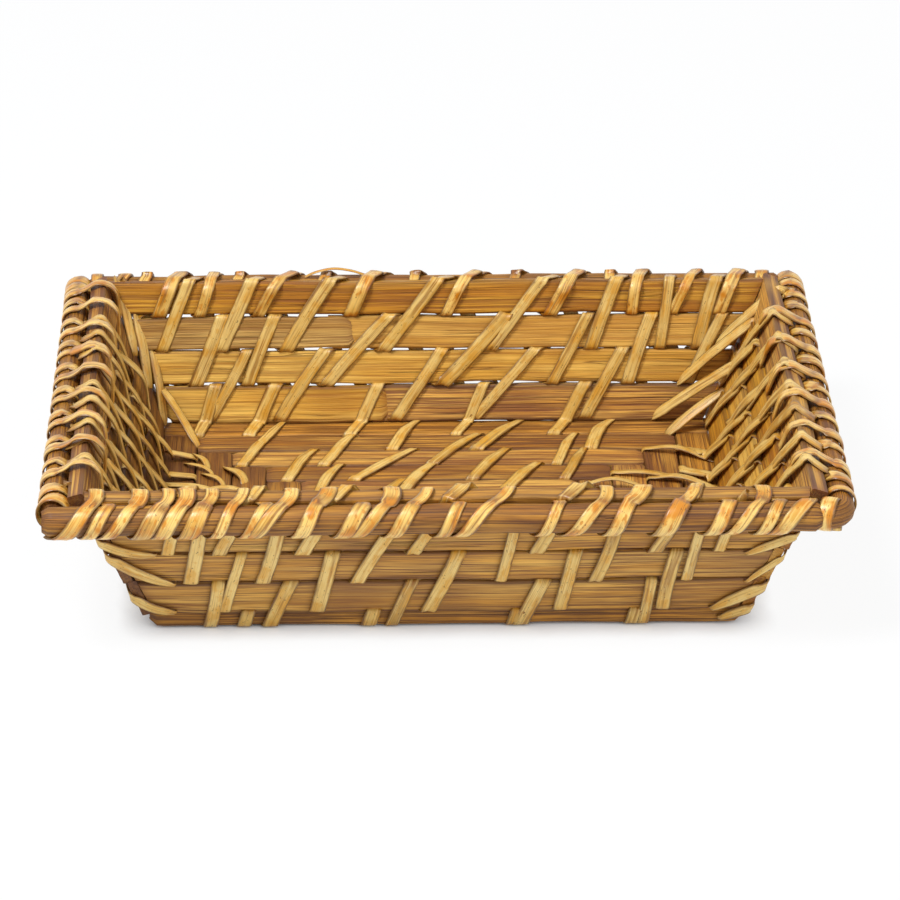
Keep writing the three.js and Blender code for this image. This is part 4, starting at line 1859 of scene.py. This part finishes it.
@dataclass
class Studio:
    """The pale floor, the soft lamps and the camera."""

    elevation: float = math.radians(25.43)
    yaw: float = math.radians(1.673)
    roll: float = math.radians(0.334)
    lens: float = 177.23
    distance: float = 1691.2
    target: tuple[float, float, float] = (3.36, 0.0, 32.65)
    sensor: float = 36.0
    sight: float = 20.0
    floor_size: float = 3.0
    paper: Colour = (0.9, 0.94, 1.0)
    contact: float = 0.012
    contact_shade: float = 0.06
    open_share: float = 0.98
    sky: float = 0.4
    lamp_colour: Colour = (1.0, 0.985, 0.96)
    lamps: tuple[Lamp, ...] = (
        Lamp("key_lamp", (-0.7, -0.6, 1.7), 0.6, 31.6),
        Lamp("fill_lamp", (1.3, -1.2, 1.0), 1.2, 11.0),
    )

    def camera(self) -> None:
        """Places the camera as the photo was taken."""
        data = bpy.data.cameras.new("camera")
        data.lens = self.lens
        data.sensor_width = self.sensor
        data.clip_end = self.sight
        camera = bpy.data.objects.new("camera", data)
        bpy.context.scene.collection.objects.link(camera)
        forward = Vector((
            math.sin(self.yaw) * math.cos(self.elevation),
            math.cos(self.yaw) * math.cos(self.elevation),
            -math.sin(self.elevation),
        ))
        right = Vector((math.cos(self.yaw), -math.sin(self.yaw), 0.0))
        up = right.cross(forward)
        turned_right = right * math.cos(self.roll) + up * math.sin(self.roll)
        turned_up = up * math.cos(self.roll) - right * math.sin(self.roll)
        axes = Matrix((turned_right, turned_up, -forward)).transposed()
        eye = (Vector(self.target) - forward * self.distance) * MM
        camera.matrix_world = Matrix.Translation(eye) @ axes.to_4x4()
        bpy.context.scene.camera = camera

    @staticmethod
    def seen(maker: NodeMaker) -> Wire:
        """1 where the camera, a reflection or glass sees the backdrop, and 0 where it only lights.

        Args:
            maker: the tree's node maker.

        Returns:
            The share, as a wire.
        """
        path = maker.make("ShaderNodeLightPath")
        straight = path["Is Camera Ray"].maths("MAXIMUM", path["Is Glossy Ray"])
        return straight.maths("MAXIMUM", path["Is Transmission Ray"])

    def floor(self) -> None:
        """Makes the white floor, which keeps a soft shadow."""
        mesh = bpy.data.meshes.new("studio_floor")
        half = self.floor_size / 2
        corners = [(-half, -half, 0), (half, -half, 0), (half, half, 0), (-half, half, 0)]
        mesh.from_pydata(corners, [], [(0, 1, 2, 3)])
        floor = bpy.data.objects.new("studio_floor", mesh)
        bpy.context.scene.collection.objects.link(floor)
        material = bpy.data.materials.new("white_paper")
        material.use_nodes = True
        material.node_tree.nodes.clear()
        maker = NodeMaker(material.node_tree)
        paper = maker.make("ShaderNodeBsdfDiffuse", {}, {"Color": (*self.paper, 1.0)})["BSDF"]
        glow = maker.make("ShaderNodeEmission", {}, {"Color": WHITE, "Strength": 1.0})["Emission"]
        seen = self.seen(maker)
        near = maker.make("ShaderNodeAmbientOcclusion", {"samples": 8}, {"Distance": self.contact})["AO"]
        share = seen * (near * self.open_share - self.contact_shade)
        both = maker.make("ShaderNodeMixShader", {}, {0: share, 1: paper, 2: glow})["Shader"]
        maker.make("ShaderNodeOutputMaterial", {}, {"Surface": both})
        mesh.materials.append(material)

    def hang(self, lamp: Lamp) -> None:
        """Hangs a lamp.

        Args:
            lamp: the lamp.
        """
        data = bpy.data.lights.new(lamp.name, "AREA")
        data.shape = "SQUARE"
        data.size = lamp.size
        data.energy = lamp.power
        data.color = self.lamp_colour
        hung = bpy.data.objects.new(lamp.name, data)
        hung.location = lamp.place
        hung.rotation_euler = Vector(lamp.place).to_track_quat("Z", "Y").to_euler()
        bpy.context.scene.collection.objects.link(hung)

    def build(self) -> None:
        """Sets up the camera, floor, lamps and sky."""
        self.camera()
        self.floor()
        for lamp in self.lamps:
            self.hang(lamp)
        world = bpy.data.worlds.new("studio")
        world.use_nodes = True
        maker = NodeMaker(world.node_tree)
        world.node_tree.nodes.clear()
        seen = self.seen(maker)
        strength = seen * (1 - self.sky) + self.sky
        sky = maker.make("ShaderNodeBackground", {}, {"Color": WHITE, "Strength": strength})
        maker.make("ShaderNodeOutputWorld", {}, {"Surface": sky["Background"]})
        bpy.context.scene.world = world
        bpy.context.scene.view_settings.view_transform = "Standard"


# ---------------------------------------------------------------- the basket


@dataclass
class Basket:
    """The whole basket: which cane lies where, and how it is stitched."""

    slats: Slats
    rods: RimRods
    bindings: Bindings

    def wall_lengths(self, side: Side, row: int) -> list[Length]:
        """Chooses the canes of a wall slat.

        Args:
            side: the side.
            row: the row's number, from the top.

        Returns:
            The lengths, the one behind first.
        """
        if side.name == "back":
            return {
                1: [Length(Cane.GOLDEN)],
                2: [Length(Cane.TAN, None, 42.0), Length(Cane.SPLICE, 32.5, None, 0.7, 0.96, tip=0.6)],
                3: [Length(Cane.HONEY)],
                4: [Length(Cane.RUSSET, None, 26.0), Length(Cane.PALE, 19.5, None, 0.5, tip=0.65)],
            }[row]
        if side.name == "front":
            return [Length(Cane.OUTSIDE, tone=0.54 - 0.05 * row)]
        if side.name == "left":
            # painted shade: the left wall's inside takes the shaded cane, darker still in the lower rows
            return [Length(Cane.RUSSET if row == 1 else Cane.SHADED, tone=0.42 - 0.12 * max(0, row - 2))]
        return [Length([Cane.RUSSET, Cane.GOLDEN, Cane.HONEY, Cane.GOLDEN][row - 1], tone=0.6)]

    def stitchings(self) -> list[Stitching]:
        """Places every stitch: the back's inside and the front's outside follow the photo.

        Returns:
            Each level's stitching, from the top row to the middle of the floor.
        """
        back = {
            Level.WALL_1: [
                (-95, -110), (-70, -87), (-37, -61), (6, -23), (48, 20), (75, 61), (94, 89), (114, 104),
            ],
            Level.WALL_2: [(-84, -97), (-63, -76), (-16, -46), (30, 0), (62, 45), (87, 76), (116, 100)],
            Level.WALL_3: [(-74, -92), (-42, -64), (4, -18), (42, 13), (76, 58)],
            Level.WALL_FOOT: [(-87, -96), (-63, -76), (-22, -36), (20, 6), (61, 45)],
            Level.FOOT_FLOOR: [(-60, -74), (-6, -19), (36, 14), (72, 60)],
            Level.FLOOR_1: [(-64, -78), (-31, -46), (20, -4), (57, 46)],
            Level.FLOOR_2: [(-46, -60), (-6, -35), (30, 12), (60, 48)],
            Level.FLOOR_3: [(-36, -48), (0, -16), (42, 22)],
        }
        corners = {
            Level.WALL_1: (112, -127), Level.WALL_2: (97, -119), Level.WALL_3: (87, -113),
            Level.WALL_FOOT: (92, -110), Level.FOOT_FLOOR: (84, -88), Level.FLOOR_1: (70, -84),
            Level.FLOOR_2: (66, -72), Level.FLOOR_3: (50, -58),
        }
        front = {
            Level.WALL_1: [(-95, -102), (-71, -84), (-41, -54), (0, -14), (42, 31), (88, 74), (106, 98)],
            Level.WALL_2: [(-89, -94), (-60, -68), (-17, -34), (25, 19), (62, 53), (93, 87)],
            Level.WALL_3: [(-74, -82), (-41, -48), (5, -8), (47, 41), (84, 79)],
            Level.WALL_FOOT: [(-83, -91), (-56, -70), (-12, -26), (36, 20), (75, 69)],
            Level.FOOT_FLOOR: [(-72, -80), (-26, -35), (27, 19), (70, 60)],
        }
        right = {
            Level.FOOT_FLOOR: [-66, -60, -48, -36, -24, -12, 0, 15, 27, 41, 53, 62],
            Level.FLOOR_1: [-54, -48, -40, -24, -16, 0, 8, 24, 32, 44],
            Level.FLOOR_2: [-40, -34, -30, -10, -6, 16, 19, 30],
            Level.FLOOR_3: [-26, -20, -14, 4, 9, 20],
        }
        right_end = {Level.WALL_1: 86.0, Level.WALL_2: 82.0, Level.WALL_3: 72.0, Level.WALL_FOOT: 74.0}
        left_start = {Level.WALL_1: -82.0, Level.WALL_2: -80.0, Level.WALL_3: -76.0, Level.WALL_FOOT: -60.0}
        made = []
        for level in list(Level)[1:]:
            turns = {}
            for index, side in enumerate(SIDES):
                if level is Level.FLOOR_4 and not side.is_long:
                    continue
                turns[side.name] = even_turns(level, side, 20 * level.value + index)
            if level in back:
                turns["back"] = from_inside(back[level], *corners[level])
            if level in front:
                turns["front"] = from_outside(front[level])
            if level in right:
                turns["right"] = right[level]
            if level in right_end:
                turns["right"][-1] = right_end[level]
                turns["left"][0] = left_start[level]
            made.append(Stitching(level, turns))
        return made

    @staticmethod
    def front_wraps() -> list[Wrap]:
        """Places the front's turns as in the photo, some of them round the rod alone.

        Returns:
            The turns in travel order.
        """
        rod_only = {-134, -118, -65, -28, 10, 49, 106, 123}
        places = [
            -134, -127, -118, -108, -101, -93, -83, -71, -65, -53, -36, -28,
            -18, -2, 10, 34, 49, 59, 78, 95, 106, 113, 123,
        ]
        before, after = 9.0, 6.0
        return [
            Wrap(place - before, place + after, place not in rod_only, 0.9 if place % 3 else 1.15)
            for place in places
        ]

    @staticmethod
    def back_wraps() -> list[Wrap]:
        """Places the back's turns: the runs inside follow the photo, with a rod's turn in each wide gap.

        Returns:
            The turns in travel order.
        """
        runs = [
            (-101, -111), (-88, -95), (-56, -72), (-23, -35),
            (17, 3), (58, 44), (83, 78), (105, 93), (122, 112),
        ]
        wide_gap = 15
        wraps = [Wrap(-134.0, -131.0, False), Wrap(-128.0, -122.0, False)]
        before: float | None = None
        for upper, lower in sorted(runs, reverse=True):
            if before is not None and -upper - before > wide_gap:
                middle = (before - upper) / 2
                wraps += [Wrap(before, middle - 2.0), Wrap(middle + 1.0, -float(upper), False, 0.85)]
            elif before is not None:
                wraps.append(Wrap(before, -float(upper)))
            before = -float(lower)
        return [
            *wraps, Wrap(before, before + 4.0), Wrap(before + 9.0, before + 13.0, False),
            Wrap(132.0, 135.0, False),
        ]

    @staticmethod
    def end_wraps(side: Side) -> list[Wrap]:
        """Spreads an end's turns, which are closer past the wall's corners.

        Args:
            side: the side.

        Returns:
            The turns in travel order.
        """
        low, high, gap = (-86.0, 106.0, 13.0) if side.name == "right" else (-104.0, 88.0, 10.5)
        corner, corner_gap = 91, 6.5
        draw = random.Random(860 + SIDES.index(side))
        wraps, travel, is_turn = [], low, side.name == "right"
        while travel < high:
            is_full = is_turn and abs(travel) < corner
            reach = 6.0 if is_full else 2.5
            place = travel + draw.uniform(-1.2, 1.2)
            wraps.append(Wrap(place - reach / 2, place + reach / 2, is_full, draw.uniform(0.9, 1.25)))
            travel += gap if abs(travel) < corner else corner_gap
            is_turn = not is_turn
        return wraps

    def rim_courses(self) -> list[Course]:
        """Winds the rim: one strip a side, turns round the corners, and a loose strand at the back.

        Returns:
            The courses of the rim's piece.
        """
        _, right, back, left = SIDES
        wraps = (self.front_wraps(), self.end_wraps(right), self.back_wraps(), self.end_wraps(left))
        courses = [self.bindings.rim(side, one) for side, one in zip(SIDES, wraps)]
        courses += [
            self.bindings.ring(right, 2.0, math.radians(75), 1.5, 0.95),
            self.bindings.ring(right, 12.0, 0.0, 1.0, 0.6),
            self.bindings.ring(left, 8.5, math.radians(12), 1.5, 0.6),
            self.bindings.ring(left, 16.0, 0.0, 1.1, 0.7),
        ]
        strand = Course()
        for x, lift in ((-52, -0.6), (-48, 1.4), (-41, 3.0), (-34, 2.2), (-28, 0.2)):
            place = Vector((x, back.rod_distance - 1.0, SIZES.wall_top + lift)) * MM
            strand.add(place, Vector((0, -0.5, 1)), 0.3, 0.45)
        return [*courses, strand]

    def braces(self) -> dict[Level, list[Brace]]:
        """Strips round the outside corners, in each level's piece.

        Returns:
            The strips of each level that has some.
        """
        return {
            Level.WALL_1: [
                Brace(3, 0, (76.0, 46.0), (-105.5, 35.0)), Brace(0, 1, (108.5, 33.8), (-76.0, 49.0)),
                Brace(1, 2, (80.0, 34.0), (-108.0, 48.0)), Brace(2, 3, (108.0, 34.0), (-78.0, 48.0)),
            ],
            Level.WALL_2: [
                Brace(3, 0, (72.0, 46.5), (-99.0, 21.0), 1.1, 0.7),
                Brace(0, 1, (109.0, 20.5), (-74.0, 43.0), 0.7),
                Brace(1, 2, (76.0, 20.5), (-100.0, 34.0)), Brace(2, 3, (100.0, 20.5), (-72.0, 34.0)),
            ],
            Level.WALL_3: [
                Brace(3, 0, (74.0, 22.0), (-99.0, 8.0), 1.0), Brace(0, 1, (97.0, 8.0), (-70.0, 28.0), 1.3),
                Brace(1, 2, (72.0, 8.0), (-96.0, 22.0)), Brace(2, 3, (96.0, 8.0), (-68.0, 22.0)),
            ],
            Level.WALL_FOOT: [
                Brace(0, 1, (100.0, 3.4), (-70.0, 12.0), 1.1),
            ],
        }

    def loops(self) -> list[Course]:
        """Short turns over the corner where the left end's floor slats meet the back's.

        Returns:
            The turns' courses.
        """
        facing = Vector((0.5, -0.35, 1.0)).normalized()
        fullness, sway, thin = 0.8, 0.18, 0.6
        courses = []
        for first, last, rise, wide in (
            ((-95.6, 51.5), (-90.4, 35.2), 3.4, 0.85), ((-99.2, 43.0), (-88.4, 29.0), 3.4, 0.55),
            ((-83.0, 39.0), (-75.8, 23.0), 3.4, 1.15), ((-92.0, 33.5), (-84.0, 20.0), 3.2, 0.7),
        ):
            course = Course()
            for share in (0.0, 0.06, 0.2, 0.4, 0.6, 0.8, 0.94, 1.0):
                belly = math.sin(math.pi * share) ** fullness
                across = first[0] + (last[0] - first[0]) * (share - sway * math.sin(math.tau * share))
                along = first[1] + (last[1] - first[1]) * share
                place = Vector((across, along, SIZES.foot_height - SIZES.strip + rise * belly)) * MM
                width = wide * (thin + (1 - thin) * belly)
                course.add(place, facing, width, 0.2 + 0.55 * belly)
            courses.append(course)
        return courses

    @staticmethod
    def foot_length(side: Side) -> Length:
        """Chooses the cane of a foot slat.

        Args:
            side: the side.

        Returns:
            The length, as long as the slat.
        """
        if side.name == "left":
            # painted shade: the left foot slat takes the darkest shaded cane
            return Length(Cane.SHADED, tone=0.08)
        return Length(Cane.FOOT, tip=0.6 if side.name == "front" else 1.0)

    @staticmethod
    def floor_length(side: Side, hoop: int) -> Length:
        """Chooses the cane of a floor slat: the left end's are painted dark as shade, and darker to their
        ends.

        Args:
            side: the side.
            hoop: the hoop's number, from the wall inwards.

        Returns:
            The length, as long as the slat.
        """
        tip = 0.8 if side.is_long else 0.5
        if side.name == "left":
            # painted shade: the left end's floor slats take the shaded cane, darkest in the outer hoops and
            # towards their ends
            return Length(Cane.SHADED, tone=0.05 + 0.15 * hoop, tip=tip, fade=40.0)
        return Length(Cane.FLOOR if hoop % 2 else Cane.RUSSET, tone=0.4, tip=tip)

    def build_canes(self) -> None:
        """Makes the rods and the slats."""
        wall_slots = ("golden_cane", "pale_cane", "golden_cane", "brown_cane")
        for side in SIDES:
            self.rods.rod(side)
            for row, slot in enumerate(wall_slots, 1):
                self.slats.wall(side, row, self.wall_lengths(side, row), slot)
            self.slats.foot(side, self.foot_length(side), "brown_cane")
            for hoop in range(1, SIZES.floor_hoops + side.is_long):
                slot = "brown_cane" if hoop % 2 else "golden_cane"
                self.slats.floor(side, hoop, self.floor_length(side, hoop), slot)

    def build_strips(self) -> None:
        """Makes the strips that bind them."""
        self.bindings.piece("strip_rim", "lashing_rim", self.rim_courses(), Cane.GLOSSY_PEEL)
        braces = self.braces()
        for stitching in self.stitchings():
            level = stitching.level
            if level is Level.FLOOR_4:
                for side_name, places in stitching.turns.items():
                    label = f"middle_{side_name}"
                    courses = self.bindings.strips(Stitching(level, {side_name: places}))
                    self.bindings.piece(f"strip_{label}", f"lashing_floor_{label}", courses)
                continue
            courses = self.bindings.strips(stitching)
            courses += [self.bindings.brace(brace) for brace in braces.get(level, [])]
            if level is Level.FOOT_FLOOR:
                courses += self.loops()
            self.bindings.piece(f"strip_{level.label}", f"lashing_{level.label}", courses)


def main() -> None:
    """Builds the basket and its studio."""
    logging.basicConfig(level=logging.INFO, format="%(message)s")
    Studio().build()
    flat = Sweep("flat_cane_sweep", True)
    bent = Sweep("round_cane_sweep", False)
    basket = Basket(Slats(flat), RimRods(bent), Bindings(bent))
    basket.build_canes()
    basket.build_strips()


if __name__ == "__main__":
    main()
